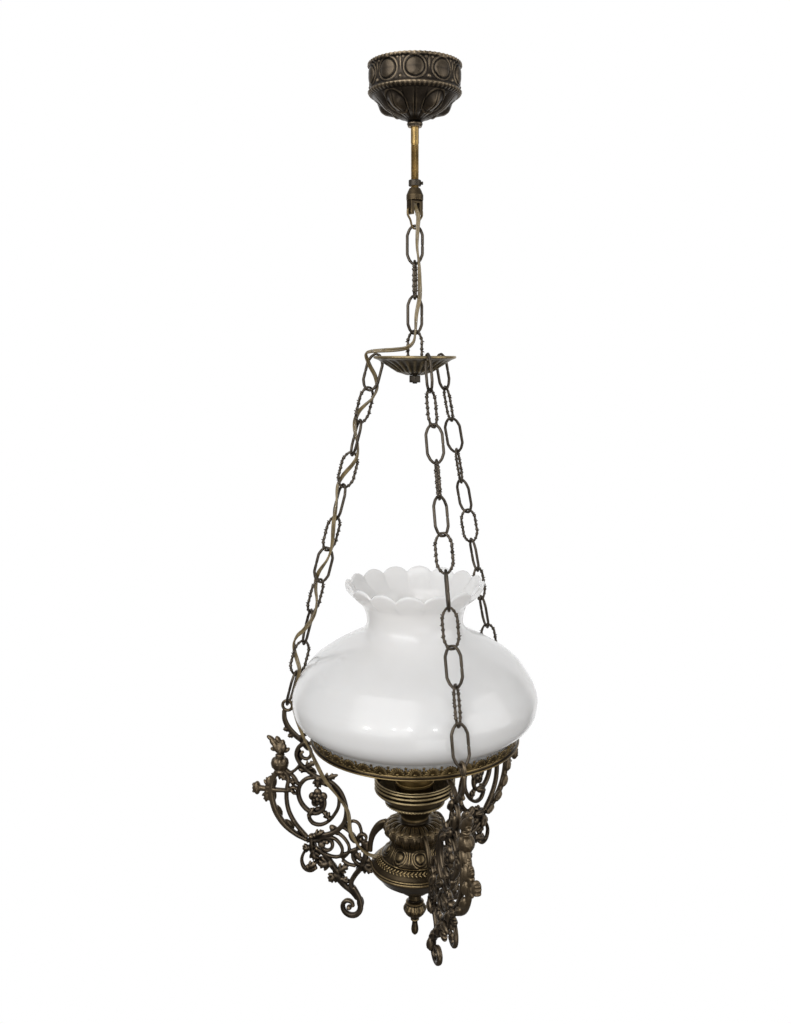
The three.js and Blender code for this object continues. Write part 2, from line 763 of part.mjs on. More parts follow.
function bracketEye() {
  const above = WIRE + EYE_PLAY - CROSSING / 2 - EYE_BORE;
  const radius = EYE_RADIUS - above * Math.sin(CHAIN_LEAN);
  const height = EYE_RISE + above * Math.cos(CHAIN_LEAN);
  return disc(radius, height, EYE_OUTER, EYE_PLATE, EYE_BORE);
}

// The scrollwork's points are drawn for a bracket of this place and size between the font's
// arm and the chain's eye, and fitted to the real one.
const DRAWN_FOOT = [50.3, -125];
const DRAWN_SPAN = [87.3, 149.3];

function fitted([radius, height]) {
  const foot = [ARM_END + FIT, BRACKET_FOOT_LEVEL];
  const wide = (EYE_RADIUS - foot[0]) / DRAWN_SPAN[0];
  const tall = (EYE_RISE - foot[1]) / DRAWN_SPAN[1];
  const out = (radius - DRAWN_FOOT[0]) * wide;
  const up = (height - DRAWN_FOOT[1]) * tall;
  return [foot[0] + out, foot[1] + up];
}

function bracket() {
  const bench = BRACKET_FOOT_LEVEL;
  const foot = ARM_END + FIT;
  const bar = (points, width, thickness = PLATE) => strip(points.map(fitted), width, thickness);
  const frond = (root, tip, width) => leaf(fitted(root), fitted(tip), width, PLATE);
  const knob = (centre, size, bore = 0) => disc(...fitted(centre), size, PLATE, bore);
  const shelf = [GALLERY_RADIUS - 4.5, -4.6];
  const hook = fitted([126, -14]);
  const along = (share, drop) => [shelf[0] + share * (hook[0] - shelf[0]), drop];
  const pieces = [
    bracketEye(),
    bar([[142, 16], [141, 6], [136, -3], [129, -11], [118, -21]], 6, EYE_PLATE),
    strip([shelf, along(0.39, -5), along(0.78, -10), hook], 4, PLATE),
    bar([[118, -20], [127, -27], [127, -38], [119, -46], [107, -54]], 4.5),
    bar([[118, -20], [113, -27], [116, -34], [123, -34]], 3.5),
    frond([100, -57], [84, -50], 7),
    frond([119, -46], [108, -38], 6),
    bar(
      [[107, -54], [88, -60], [77, -73], [73, -88], [76, -101], [85, -111], [98, -117], [113, -120]],
      4.5,
    ),
    bar(
      [[99, -80], [100, -90], [108, -94], [118, -90], [126, -78], [125, -65], [118, -57], [106, -54]],
      4,
    ),
    bar([[88, -60], [82, -72], [83, -84], [91, -99], [103, -106], [113, -104], [115, -97]], 3.2),
    knob([105, -77], 8.5),
    frond([105, -54], [105, -64], 9),
    bar([[134, -52], [139, -63], [141, -80], [138, -95], [132, -107], [118, -121]], 4),
    bar([[150, -50], [157, -66], [156, -82], [152, -96], [142, -109], [118, -124]], 4.5),
    bar([[125, -42], [131, -50], [140, -55], [148, -50]], 4),
    bar([[155, -72], [165, -71.5], [175, -72]], 4.5),
    frond([162, -73], [163, -85], 5),
    frond([162, -71], [160, -59], 5),
    knob([147, -42], 9.5),
    frond([146, -34], [158, -14], 12),
    frond([108, -118], [108, -143], 16),
    knob([112, -126], 8),
    bar([[108, -126], [96, -117], [82, -117], [68, -126], [52.3, -125]], 3.6),
    bar([[108, -130], [95, -138], [81, -137], [68, -124], [61, -109], [66, -97], [76, -96]], 3.6),
    knob([97, -127], 7, 3.4),
    bar([[52.3, -122], [57, -113], [63, -111]], 3.4),
    plateFrom(
      new THREE.Shape([
        new THREE.Vector2(foot, bench - 6),
        new THREE.Vector2(foot + 7, bench - 5),
        new THREE.Vector2(foot + 7, bench + 4),
        new THREE.Vector2(foot, bench + 6),
      ]),
      PLATE,
    ),
    bar([[53.3, -125], [54, -138], [58, -147], [66, -156], [69, -166], [64, -175]], 5),
    bar([[64, -175], [60, -186], [62, -198], [71, -202], [78, -199], [79.5, -192]], 5),
    knob([71, -193], 6.5, 3),
    frond([57, -146], [46, -153], 8),
    bar([[108, -130], [96, -140], [89, -151], [84, -160], [76, -170], [63, -180]], 5),
    frond([84, -160], [101, -170], 7),
    frond([91, -146], [106, -152], 10),
    frond([84, -158], [72, -146], 8),
    bar([[114, -130], [122, -140], [124, -151], [117, -157], [108, -153]], 3.6),
  ];
  return pieces.reduce((body, piece) => body.add(piece));
}

const bracketBody = bracket();
Object.entries(ARMS).forEach(([side, bearing]) => {
  const geometry = shape(bracketBody.rotate([0, 0, bearing - 90]));
  add(`${side}_bracket`, geometry, DARK_BRONZE, SEAT_Z);
});

// Finial: the turned drop screwed into the font's foot.
function finial() {
  return turned(
    [
      [0, -215],
      [0.9, -214.9],
      [3.5, -211.8],
      [3.9, -209.2],
      [3.4, -203.8],
      [2.8, -199.7],
      [4.4, -196.8],
      [8.2, -192.4],
      [10.9, -189.3],
      [12, -186.3],
      [11.9, -185],
      [10.2, -181.5],
      [7.6, -178],
      [6.4, -176],
      [5, -173],
      [8.5, FONT_FOOT - FIT - 1.2],
      [8.5, FONT_FOOT - FIT],
      [FINIAL_THREAD, FONT_FOOT - FIT],
      [FINIAL_THREAD, FONT_FOOT + 8],
      [0, FONT_FOOT + 8],
    ],
    14,
  );
}
add("finial", finial(), OLD_BRASS, SEAT_Z);

// Flex, upper stretch: from the ceiling's cable hole, round into the stem and down it.
function flexUpper() {
  const end = PIN_Z + STEM_OVER_PINS;
  const points = [
    [CABLE_REACH, 0, 0],
    [CABLE_REACH, 0, -4],
    [CABLE_REACH - 1.5, 0, -8.5],
    [CABLE_REACH / 2, 0, -13],
    [1.5, 0, -17.5],
    [0, 0, -22],
    [0, 0, -27],
    [0, 0, -60],
    [0, 0, -100],
    [0, 0, end],
  ];
  return cord(points.map((point) => new THREE.Vector3(...point)), FLEX_RADIUS, 12);
}
add("flex_upper", flexUpper(), FLEX_GOLD);

// Flex, middle stretch: out of the yoke, beside the upper chain and out over the dish's rim.
// Its points are [x, y, height over the spreader's rim].
const FLEX_FROM_YOKE = [
  [0, 0, 157.6],
  [0, 0, 153],
  [0.2, -0.2, 149.5],
  [1.9, -2.4, 144.5],
  [3.4, -4.8, 138.5],
  [2.8, -5.9, 127],
  [2.2, -6.2, 109],
  [4.2, -5.2, 92],
  [4.8, -3.6, 75],
  [4.8, -3.4, 60],
  [1.5, -4.9, 42],
  [0.5, -5.9, 25],
  [-1.5, -8, 15],
  [-8, -11, 9.5],
  [-20, -9, 7.5],
  [-32, -6, 6.8],
  [-42, -2.5, 6.2],
];

function flexMiddle() {
  const points = FLEX_FROM_YOKE.map((point) => new THREE.Vector3(...point));
  return cord(points, FLEX_RADIUS, 20);
}
add("flex_middle", flexMiddle(), FLEX_GOLD, RIM_Z);

// Flex, lower stretch: in and out of the left chain's links, down the front of the left
// bracket and into the font. It goes on from the middle stretch's end at the rim.
const FLEX_GOES_ON = [-42.6, -2.3, 6.2];
// The chain's stretch is [links down the chain, outwards, across].
const FLEX_DOWN_CHAIN = [
  [0.0, 9.2, 9.9],
  [0.3, 4.8, 3.6],
  [0.62, -2.8, -3.9],
  [0.95, -7.4, -3.8],
  [1.25, -5.9, -0.5],
  [1.5, -0.5, 0.3],
  [1.75, 4.4, -0.9],
  [2.05, 5.8, -1.4],
  [2.3, 3.5, -1.0],
  [2.5, -0.1, -0.3],
  [2.72, -4.2, 0.7],
  [3.05, -6.3, 2.3],
  [3.3, -3.7, 1.9],
  [3.55, 1.1, -0.9],
  [3.75, 4.5, -2.6],
  [4.05, 6.7, -1.6],
  [4.3, 4.8, 1.2],
  [4.5, 2.1, 3.9],
  [4.8, 0.1, 6.7],
  [5.1, -1.1, 7.1],
  [5.4, -2.7, 6.1],
  [5.7, -4.4, 5.2],
  [6.0, -4.9, 4.7],
  [6.3, -3.1, 3.0],
  [6.55, 0.5, -0.2],
  [6.8, 3.9, -3.5],
  [7.05, 5.0, -5.1],
  [7.35, 2.6, -4.5],
  [7.6, -1.9, -1.2],
  [7.9, -5.3, 5.5],
  [8.15, -4.7, 10.4],
  [8.5, 0.1, 11.2],
  [8.8, 6.7, 6.5],
  [9.1, 9.6, 1.4],
  [9.4, 6.9, -1.1],
  [9.6, 2.6, -0.9],
  [9.85, -3.6, 2.2],
  [10.15, -4.2, 2.4],
  [10.5, -3.8, 2.4],
  [10.8, -6, 4.2],
  [11.05, -9.5, 5.4],
];
// The bracket's stretch is [radius, height over the gallery's seat], beside the plate.
const FLEX_DOWN_BRACKET = [
  [119.7, -7.5],
  [110.8, -25],
  [104.3, -38.5],
  [95.7, -54],
  [84.8, -67.1],
  [76.1, -77.2],
  [70.7, -86.4],
  [69.1, -97.1],
  [68.4, -105.8],
  [64.3, -115],
  [55.7, -125.6],
  [48, -130.4],
  [40, FLEX_ENTRY],
  [33, FLEX_ENTRY],
];

function flexLower() {
  const frame = chainFrame(ARMS.left);
  const bearing = THREE.MathUtils.degToRad(ARMS.left - 90);
  const up = new THREE.Vector3(0, 0, 1);
  const points = [
    new THREE.Vector3(...FLEX_GOES_ON).setZ(FLEX_GOES_ON[2] + RIM_Z),
    ...FLEX_DOWN_CHAIN.map(([links, out, across]) =>
      new THREE.Vector3(out, across, -links * PITCH).applyMatrix4(frame.matrix),
    ),
    ...FLEX_DOWN_BRACKET.map(([radius, height]) =>
      new THREE.Vector3(radius, FLEX_BESIDE, height + SEAT_Z).applyAxisAngle(up, bearing),
    ),
  ];
  return cord(points, FLEX_RADIUS, 64);
}
add("flex_lower", flexLower(), FLEX_GOLD);

export default group;
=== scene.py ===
# A hanging kerosene lamp, wired for electric light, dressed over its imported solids.
import math

import bpy
from mathutils import Matrix, Vector


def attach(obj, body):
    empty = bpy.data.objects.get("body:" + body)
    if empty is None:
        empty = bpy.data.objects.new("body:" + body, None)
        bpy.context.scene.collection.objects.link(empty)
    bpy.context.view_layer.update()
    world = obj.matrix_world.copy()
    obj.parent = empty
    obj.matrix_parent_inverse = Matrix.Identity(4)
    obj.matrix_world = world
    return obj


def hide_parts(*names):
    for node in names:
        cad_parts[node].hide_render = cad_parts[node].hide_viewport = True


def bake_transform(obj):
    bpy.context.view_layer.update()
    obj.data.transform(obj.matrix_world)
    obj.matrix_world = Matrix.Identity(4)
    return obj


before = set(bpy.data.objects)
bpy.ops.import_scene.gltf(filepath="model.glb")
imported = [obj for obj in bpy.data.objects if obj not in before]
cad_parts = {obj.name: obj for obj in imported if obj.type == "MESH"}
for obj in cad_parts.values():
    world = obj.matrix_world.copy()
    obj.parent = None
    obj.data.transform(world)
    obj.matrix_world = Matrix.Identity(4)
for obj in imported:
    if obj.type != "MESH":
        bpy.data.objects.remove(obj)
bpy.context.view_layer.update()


# The viewpoint: a camera a metre in front of the lamp, level with the spreader and tipped
# a little down, as the photograph was taken.
viewpoint = bpy.data.cameras.new("viewpoint")
viewpoint.lens = 34.44
viewpoint.sensor_width = 36
viewpoint.shift_x = -0.0189
viewpoint.shift_y = -0.0762
viewpoint.clip_start = 0.01
camera = bpy.data.objects.new("viewpoint", viewpoint)
camera.location = (0, -0.986, -0.286)
camera.rotation_euler = (math.radians(90 - 4.475), 0, 0)
bpy.context.scene.collection.objects.link(camera)
bpy.context.scene.camera = camera
bpy.context.scene.view_settings.view_transform = "Standard"

# Studio light: a white backdrop behind the lamp and a dim warm room elsewhere. One broad soft
# light stands at the upper left in front, with smaller ones at the right and low down. Three
# small spots give the glass its glints.
def node(tree, kind, **values):
    """Adds a shader node and sets its plain values on its sockets."""
    added = tree.nodes.new(kind)
    for socket, value in values.items():
        added.inputs[socket.replace("_", " ")].default_value = value
    return added


def ramp(tree, *stops):
    """Adds a colour ramp with two or three stops, each a position and a colour."""
    added = tree.nodes.new("ShaderNodeValToRGB")
    marks = added.color_ramp.elements
    for position, colour in stops[1:-1]:
        marks.new(position)
    for mark, (position, colour) in zip(marks, stops):
        mark.position = position
        mark.color = (*colour, 1)
    return added


def wire(tree, *routes):
    """Links sockets. Each route is a node, its output, the next node and its input."""
    for start, output, end, socket in routes:
        tree.links.new(start.outputs[output], end.inputs[socket])


room = bpy.data.worlds.new("dim_room")
room.use_nodes = True
sky = room.node_tree
gaze = node(sky, "ShaderNodeTexCoord")
parts = node(sky, "ShaderNodeSeparateXYZ")
backdrop = node(sky, "ShaderNodeMapRange", From_Min=0.66, From_Max=0.76)
height = node(sky, "ShaderNodeMapRange", From_Min=-1)
overhead = ramp(sky, (0.25, (0.13, 0.12, 0.11)), (0.8, (0.4, 0.4, 0.4)))
choose = node(sky, "ShaderNodeMix")
choose.data_type = "RGBA"
choose.inputs["B"].default_value = (1, 1, 1, 1)
wire(
    sky, (gaze, "Generated", parts, "Vector"), (parts, "Y", backdrop, "Value"),
    (parts, "Z", height, "Value"), (height, "Result", overhead, "Fac"),
    (overhead, "Color", choose, "A"), (backdrop, "Result", choose, "Factor"),
    (choose, "Result", sky.nodes["Background"], "Color"),
)
bpy.context.scene.world = room

for name, place, size, power in (
    ("left_softbox", (-1, -1.6, 0.5), 2.3, 31), ("window_streak", (-0.9, -1, -0.2), 0.1, 1),
    ("right_softbox", (1.5, -0.55, -0.25), 1.3, 8), ("low_fill", (0.5, -1.6, -1.3), 0.9, 4),
    ("spot_left", (-0.5, -1.5, 0.02), 0.08, 0.9), ("spot_middle", (-0.12, -1.5, 0.02), 0.08, 0.9),
    ("spot_right", (0.5, -1.5, 0), 0.08, 0.9),
):
    lamp_data = bpy.data.lights.new(name, "AREA")
    lamp_data.size = size
    lamp_data.energy = power
    light = bpy.data.objects.new(name, lamp_data)
    light.location = place
    light.rotation_euler = (Vector((0, 0, -0.55)) - Vector(place)).to_track_quat("-Z", "Y").to_euler()
    bpy.context.scene.collection.objects.link(light)


# The flex: twin-core lighting flex in clear gold plastic. It comes in at the ceiling, runs
# down the stem, leaves through the yoke, and threads the left chain down to the font.
def clear_selection():
    if bpy.context.object and bpy.context.object.mode != "OBJECT":
        bpy.ops.object.mode_set(mode="OBJECT")
    bpy.ops.object.select_all(action="DESELECT")


def pick(piece):
    """Makes one piece the only selected one, and the active one."""
    clear_selection()
    piece.select_set(True)
    bpy.context.view_layer.objects.active = piece


def placed(name, mesh):
    """Puts a mesh into the scene as an object."""
    piece = bpy.data.objects.new(name, mesh)
    bpy.context.scene.collection.objects.link(piece)
    return piece


def about_z(degrees):
    return Matrix.Rotation(math.radians(degrees), 4, "Z")


def evenly(course, count, steps):
    """Points at even steps along a course, so many steps making up its whole length."""
    reach = [0]
    for a, b in zip(course, course[1:]):
        reach.append(reach[-1] + (b - a).length)
    spread, i = [], 0
    for k in range(count):
        want = reach[-1] * k / steps
        while i < len(reach) - 2 and reach[i + 1] < want:
            i += 1
        share = (want - reach[i]) / max(reach[i + 1] - reach[i], 1e-12)
        spread.append(course[i].lerp(course[i + 1], min(max(share, 0), 1)))
    return spread


def through(points, count):
    """Points along a centripetal curve through the given points, evenly spread."""
    points = [Vector(p) for p in points]
    ends = [2 * points[0] - points[1], *points, 2 * points[-1] - points[-2]]
    course = []
    for a, b, c, d in zip(ends, ends[1:], ends[2:], ends[3:]):
        t0 = 0
        t1 = t0 + max((b - a).length, 1e-9) ** 0.5
        t2 = t1 + max((c - b).length, 1e-9) ** 0.5
        t3 = t2 + max((d - c).length, 1e-9) ** 0.5
        for i in range(24):
            t = t1 + (t2 - t1) * i / 24
            p = a.lerp(b, (t - t0) / (t1 - t0))
            q = b.lerp(c, (t - t1) / (t2 - t1))
            r = c.lerp(d, (t - t2) / (t3 - t2))
            course.append(
                p.lerp(q, (t - t0) / (t2 - t0)).lerp(q.lerp(r, (t - t1) / (t3 - t1)), (t - t1) / (t2 - t1))
            )
    course.append(points[-1])
    return evenly(course, count, count - 1)


def tube_faces(rows, ring, closed=False):
    """The faces of a skin over rows of ring points each, with its two ends where it isn't closed."""
    faces = []
    for i in range(rows if closed else rows - 1):
        j = (i + 1) % rows
        for k in range(ring):
            n = (k + 1) % ring
            faces.append((i * ring + k, i * ring + n, j * ring + n, j * ring + k))
    if not closed:
        faces += [tuple(reversed(range(ring))), tuple(range((rows - 1) * ring, rows * ring))]
    return faces


def swept(name, course, outline_at, closed=False, side=None):
    """A skin swept along a course, in millimetres. outline_at gives the section at a share of the way."""
    count = len(course)
    verts, ahead = [], []
    for i in range(count):
        after = course[(i + 1) % count] if closed or i < count - 1 else course[i]
        before = course[i - 1] if closed or i else course[i]
        ahead.append((after - before).normalized())
    side = side or ahead[0].orthogonal().normalized()
    for i in range(count):
        side = (side - ahead[i] * side.dot(ahead[i])).normalized()
        up = ahead[i].cross(side)
        section = outline_at(i / (count - 1))
        verts += [(course[i] + side * x + up * y) * 0.001 for x, y in section]
    mesh = bpy.data.meshes.new(name)
    mesh.from_pydata([tuple(v) for v in verts], [], tube_faces(count, len(section), closed))
    mesh.shade_smooth()
    return placed(name, mesh)


def twin_section(share, turns):
    """The flex's section: two round cores side by side, turning slowly along its length."""
    angle = 2 * math.pi * turns * share
    outline = []
    for k in range(20):
        a = 2 * math.pi * (k + 0.5) / 20
        radius = 1.06 * abs(math.cos(a)) + math.sqrt(1.14 ** 2 - (1.06 * math.sin(a)) ** 2)
        x, y = radius * math.cos(a), radius * math.sin(a)
        outline.append(
            (x * math.cos(angle) - y * math.sin(angle), x * math.sin(angle) + y * math.cos(angle))
        )
    return outline


def paint(name, **sockets):
    """A material with its own shader, its plain values set on the shader's sockets."""
    material = bpy.data.materials.new(name)
    material.use_nodes = True
    shader = material.node_tree.nodes["Principled BSDF"]
    for socket, value in sockets.items():
        shader.inputs[socket.replace("_", " ")].default_value = value
    return material, material.node_tree, shader


def clouded(name, scale, detail, low, high, **sockets):
    """A material whose colour drifts between two stops of a colour ramp."""
    material, tree, shader = paint(name, **sockets)
    where = node(tree, "ShaderNodeTexCoord")
    clouds = node(tree, "ShaderNodeTexNoise", Scale=scale, Detail=detail)
    tone = ramp(tree, low, high)
    wire(
        tree, (where, "Object", clouds, "Vector"), (clouds, "Fac", tone, "Fac"),
        (tone, "Color", shader, "Base Color"),
    )
    return material, tree, shader, clouds


flex_plastic = clouded(
    "flex_plastic", 90, 3, (0.3, (0.115, 0.082, 0.036)), (0.7, (0.33, 0.25, 0.125)),
    Roughness=0.28, Coat_Weight=0.35, Transmission_Weight=0.12,
)[0]

# The route, as the solids have it. The upper stretch is in the ceiling's own heights.
pin_level = -140
upper_route = [
    (14, 0, 0), (14, 0, -4), (12.5, 0, -8.5), (7, 0, -13), (1.5, 0, -17.5), (0, 0, -22), (0, 0, -27),
    (0, 0, -60), (0, 0, -100), (0, 0, -128),
]
rim_level = -285.992
seat_level = -675.991
chain_hole = Vector((39, 0, 1.6))
chain_run_out = 98.6
middle_route = [
    (0, 0, 157.6), (0, 0, 153), (0.2, -0.2, 149.5), (1.9, -2.4, 144.5), (3.4, -4.8, 138.5),
    (2.8, -5.9, 127), (2.2, -6.2, 109), (4.2, -5.2, 92), (4.8, -3.6, 75), (4.8, -3.4, 60), (1.5, -4.9, 42),
    (0.5, -5.9, 25), (-1.5, -8, 15), (-8, -11, 9.5), (-20, -9, 7.5), (-32, -6, 6.8), (-42, -2.5, 6.2),
]
middle_route = [(x, y, z + rim_level) for x, y, z in middle_route]
bearings = {"front": 18, "left": -102, "back": 138}
link_pitch = 34.573
chain_lean = math.atan2(chain_run_out, math.sqrt((11 * link_pitch) ** 2 - chain_run_out ** 2))


def chain_place(bearing):
    """Stands at a chain's top on the rim: +Z up the chain, +X outwards, +Y across it."""
    hole = Matrix.Translation(chain_hole + Vector((0, 0, rim_level)))
    return about_z(bearing - 90) @ hole @ Matrix.Rotation(-chain_lean, 4, "Y")


# The flex's way down the left chain: how many links down, how far out and how far across.
chain_stretch = [
    (0, 9.2, 9.9), (0.3, 4.8, 3.6), (0.62, -2.8, -3.9), (0.95, -7.4, -3.8), (1.25, -5.9, -0.5),
    (1.5, -0.5, 0.3), (1.75, 4.4, -0.9), (2.05, 5.8, -1.4), (2.3, 3.5, -1), (2.5, -0.1, -0.3),
    (2.72, -4.2, 0.7), (3.05, -6.3, 2.3), (3.3, -3.7, 1.9), (3.55, 1.1, -0.9), (3.75, 4.5, -2.6),
    (4.05, 6.7, -1.6), (4.3, 4.8, 1.2), (4.5, 2.1, 3.9), (4.8, 0.1, 6.7), (5.1, -1.1, 7.1),
    (5.4, -2.7, 6.1), (5.7, -4.4, 5.2), (6, -4.9, 4.7), (6.3, -3.1, 3), (6.55, 0.5, -0.2),
    (6.8, 3.9, -3.5), (7.05, 5, -5.1), (7.35, 2.6, -4.5), (7.6, -1.9, -1.2), (7.9, -5.3, 5.5),
    (8.15, -4.7, 10.4), (8.5, 0.1, 11.2), (8.8, 6.7, 6.5), (9.1, 9.6, 1.4), (9.4, 6.9, -1.1),
    (9.6, 2.6, -0.9), (9.85, -3.6, 2.2), (10.15, -4.2, 2.4), (10.5, -3.8, 2.4), (10.8, -6, 4.2),
    (11.05, -9.5, 5.4),
]
# Its way along the left bracket: how far from the lamp's axis, and how high over the seat.
bracket_stretch = [
    (119.7, -7.5), (110.8, -25), (104.3, -38.5), (95.7, -54), (84.8, -67.1), (76.1, -77.2), (70.7, -86.4),
    (69.1, -97.1), (68.4, -105.8), (64.3, -115), (55.7, -125.6), (48, -130.4), (40, -131.4), (33, -131.4),
]
left_place = chain_place(bearings["left"])
beside_plate = about_z(bearings["left"] - 90)
flex_off_plate = 5.5
lower_route = [Vector((-42.6, -2.3, 6.2 + rim_level))]
lower_route += [
    left_place @ Vector((out, across, -links * link_pitch)) for links, out, across in chain_stretch
]
lower_route += [
    beside_plate @ Vector((radius, flex_off_plate, height + seat_level))
    for radius, height in bracket_stretch
]


def stretch(name, whole, course, first, last):
    """One length of the flex, from one ring of its skin to another, closed at both ends."""
    ring = len(whole.data.vertices) // len(course)
    verts = [whole.data.vertices[i].co[:] for i in range(first * ring, (last + 1) * ring)]
    mesh = bpy.data.meshes.new(name)
    mesh.from_pydata(verts, [], tube_faces(last - first + 1, ring))
    piece = placed(name, mesh)
    pick(piece)
    bpy.ops.object.shade_smooth_by_angle(angle=math.radians(50))
    piece.data.materials.append(flex_plastic)
    return piece


# It is made in stretches that meet end to end. The two lower stretches go with the left chain and the lamp;
# those down the upper chain are given to no body.
course = through(upper_route, 60)
whole = swept("whole_flex", course, lambda share: twin_section(share, 0.6))
piece = stretch("flex_in_stem", whole, course, 0, len(course) - 1)
bpy.data.objects.remove(whole)
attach(piece, "ceiling")
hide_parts("flex_upper")

course = through(middle_route, 150)
whole = swept("whole_flex", course, lambda share: twin_section(share, 1.2))
cuts = [0, 25, 50, 75, 100, 125, 149]
bend_levels = ((-132, -148), (-160.5, -174), (-193, -209), (-226, -241), (-258, -271))
bends = [((0, 0, upper), (0, 0, lower)) for upper, lower in bend_levels]
bends.append(((-13, -10.2, rim_level + 8.5), (-36, -5, rim_level + 6.6)))
for i, (start, end) in enumerate(bends):
    piece = stretch(f"flex_to_rim_{i + 1}", whole, course, cuts[i], cuts[i + 1])
    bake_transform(piece)
    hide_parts("flex_middle")
bpy.data.objects.remove(whole)

course = through(lower_route, 360)
whole = swept("whole_flex", course, lambda share: twin_section(share, 5))
bracket_eye = lower_route[len(chain_stretch)]
at_eye = min(range(len(course)), key=lambda i: (course[i] - bracket_eye).length)
for name, first, last, body in (
    ("flex_down_chain", 0, at_eye, "left_chain"), ("flex_on_bracket", at_eye, len(course) - 1, "lamp"),
):
    piece = stretch(name, whole, course, first, last)
    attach(piece, body)
    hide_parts("flex_lower")
bpy.data.objects.remove(whole)


# The stem: a length of threaded brass tube, bright where the rose has slid on it.
# The rose hangs on it, and the flex runs down through it.
def metal(name, painted_hollow_shade, field, worn_edge_highlight, gloss, relief=0.25, span=(0.46, 0.5, 0.56)):
    """Aged brass or bronze, cloudy in tone: its hollows darkened as painted shade, its edges lightened as
    worn metal and as painted highlight.
    """
    material, tree, shader = paint(name, Metallic=0.9)
    where = node(tree, "ShaderNodeTexCoord")
    form = node(tree, "ShaderNodeNewGeometry")
    # Pointiness picks the colour: painted shade in the hollows, worn metal and painted highlight on the
    # edges.
    shade_wear_highlight = ramp(tree, *zip(span, (painted_hollow_shade, field, worn_edge_highlight)))
    clouds = node(tree, "ShaderNodeTexNoise", Scale=70, Detail=5)
    patches = node(tree, "ShaderNodeMapRange", From_Min=0.3, From_Max=0.7, To_Min=0.62, To_Max=1.3)
    tone = node(tree, "ShaderNodeVectorMath")
    tone.operation = "SCALE"
    speckle = node(tree, "ShaderNodeTexNoise", Scale=300, Detail=3)
    dull = node(
        tree, "ShaderNodeMapRange", From_Min=0.25, From_Max=0.75, To_Min=gloss[0], To_Max=gloss[1]
    )
    skin = node(tree, "ShaderNodeBump", Strength=relief, Distance=0.0004)
    wire(
        tree, (form, "Pointiness", shade_wear_highlight, "Fac"), (where, "Object", clouds, "Vector"),
        (where, "Object", speckle, "Vector"), (clouds, "Fac", patches, "Value"),
        (shade_wear_highlight, "Color", tone, 0), (patches, "Result", tone, "Scale"),
        (tone, "Vector", shader, "Base Color"), (clouds, "Fac", dull, "Value"),
        (dull, "Result", shader, "Roughness"), (speckle, "Fac", skin, "Height"),
        (skin, "Normal", shader, "Normal"),
    )
    return material


def turned(name, profile, steps, smooth=35, level=0):
    """A piece turned on the lathe from [radius, height over level] points in millimetres."""
    mesh = bpy.data.meshes.new(name)
    closed = profile[0][0] > 0.01 and profile[-1][0] > 0.01
    edges = [(i, i + 1) for i in range(len(profile) - 1)]
    if closed:
        edges.append((len(profile) - 1, 0))
    mesh.from_pydata([(r / 1000, 0, (z + level) / 1000) for r, z in profile], edges, [])
    piece = placed(name, mesh)
    pick(piece)
    bpy.ops.object.mode_set(mode="EDIT")
    bpy.ops.mesh.select_all(action="SELECT")
    bpy.ops.mesh.spin(steps=steps, angle=2 * math.pi, center=(0, 0, 0), axis=(0, 0, 1))
    bpy.ops.mesh.select_all(action="SELECT")
    bpy.ops.mesh.remove_doubles(threshold=1e-6)
    bpy.ops.mesh.normals_make_consistent(inside=False)
    bpy.ops.object.mode_set(mode="OBJECT")
    bpy.ops.object.shade_smooth_by_angle(angle=math.radians(smooth))
    return piece


def fixed(piece, body, slot, material, *nodes):
    """Gives a finished piece its material and its body, and hides the solids it stands for. The slot
    argument is not used.
    """
    piece.data.materials.clear()
    piece.data.materials.append(material)
    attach(piece, body)
    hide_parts(*nodes)


def thread(radius, low, high, depth=0.32, pitch=1):
    """Profile points of a cut thread, upwards."""
    count = int((high - low) / pitch)
    return [
        point for i in range(count)
        for point in ((radius, low + i * pitch + 0.15), (radius - depth, low + (i + 0.5) * pitch))
    ]


bright_brass = metal(
    "bright_brass", (0.06, 0.036, 0.012), (0.34, 0.225, 0.08), (0.56, 0.4, 0.17), (0.26, 0.42), relief=0.12
)
stem_profile = [(2.8, -128), (4, -128)]
stem_profile += thread(4, -127.6, -76, 0.42, 1.3)
stem_profile += [(4, -75), (4, -62), (4, -50), (4, -38.4)]
stem_profile += thread(4, -38, -26.6)
stem_profile += [(4, -26), (2.8, -26), (2.8, -70)]
fixed(turned("threaded_stem", stem_profile, 40), "ceiling", "bright_brass", bright_brass, "stem")


# The grip collar: a dark steel ring with a slotted set screw at its right, clamped on the
# stem's foot just over the yoke.
def soften(piece, width, segments=2):
    """Rounds a piece's hard edges with a bevel, in millimetres."""
    bevel = piece.modifiers.new("worn_edges", "BEVEL")
    bevel.width = width / 1000
    bevel.segments = segments
    bevel.limit_method = "ANGLE"
    bevel.angle_limit = math.radians(30)
    pick(piece)
    bpy.ops.object.modifier_apply(modifier="worn_edges")
    bpy.ops.object.shade_smooth_by_angle(angle=math.radians(40))


def settle(piece):
    """Puts a piece's place into its mesh, so that its object stands at the origin."""
    bpy.context.view_layer.update()
    piece.data.transform(piece.matrix_world)
    piece.matrix_world = Matrix.Identity(4)


def rod(radius, depth, place, vertices, tilt=(0, 0, 0)):
    """A round or many-sided bar in metres, its middle at a place."""
    clear_selection()
    bpy.ops.mesh.primitive_cylinder_add(
        vertices=vertices, radius=radius, depth=depth, location=place, rotation=tilt
    )
    bar = bpy.context.object
    settle(bar)
    return bar


def joined(name, pieces):
    """Joins settled pieces into one object."""
    clear_selection()
    for piece in pieces:
        piece.select_set(True)
    bpy.context.view_layer.objects.active = pieces[0]
    bpy.ops.object.join()
    pieces[0].name = name
    return pieces[0]


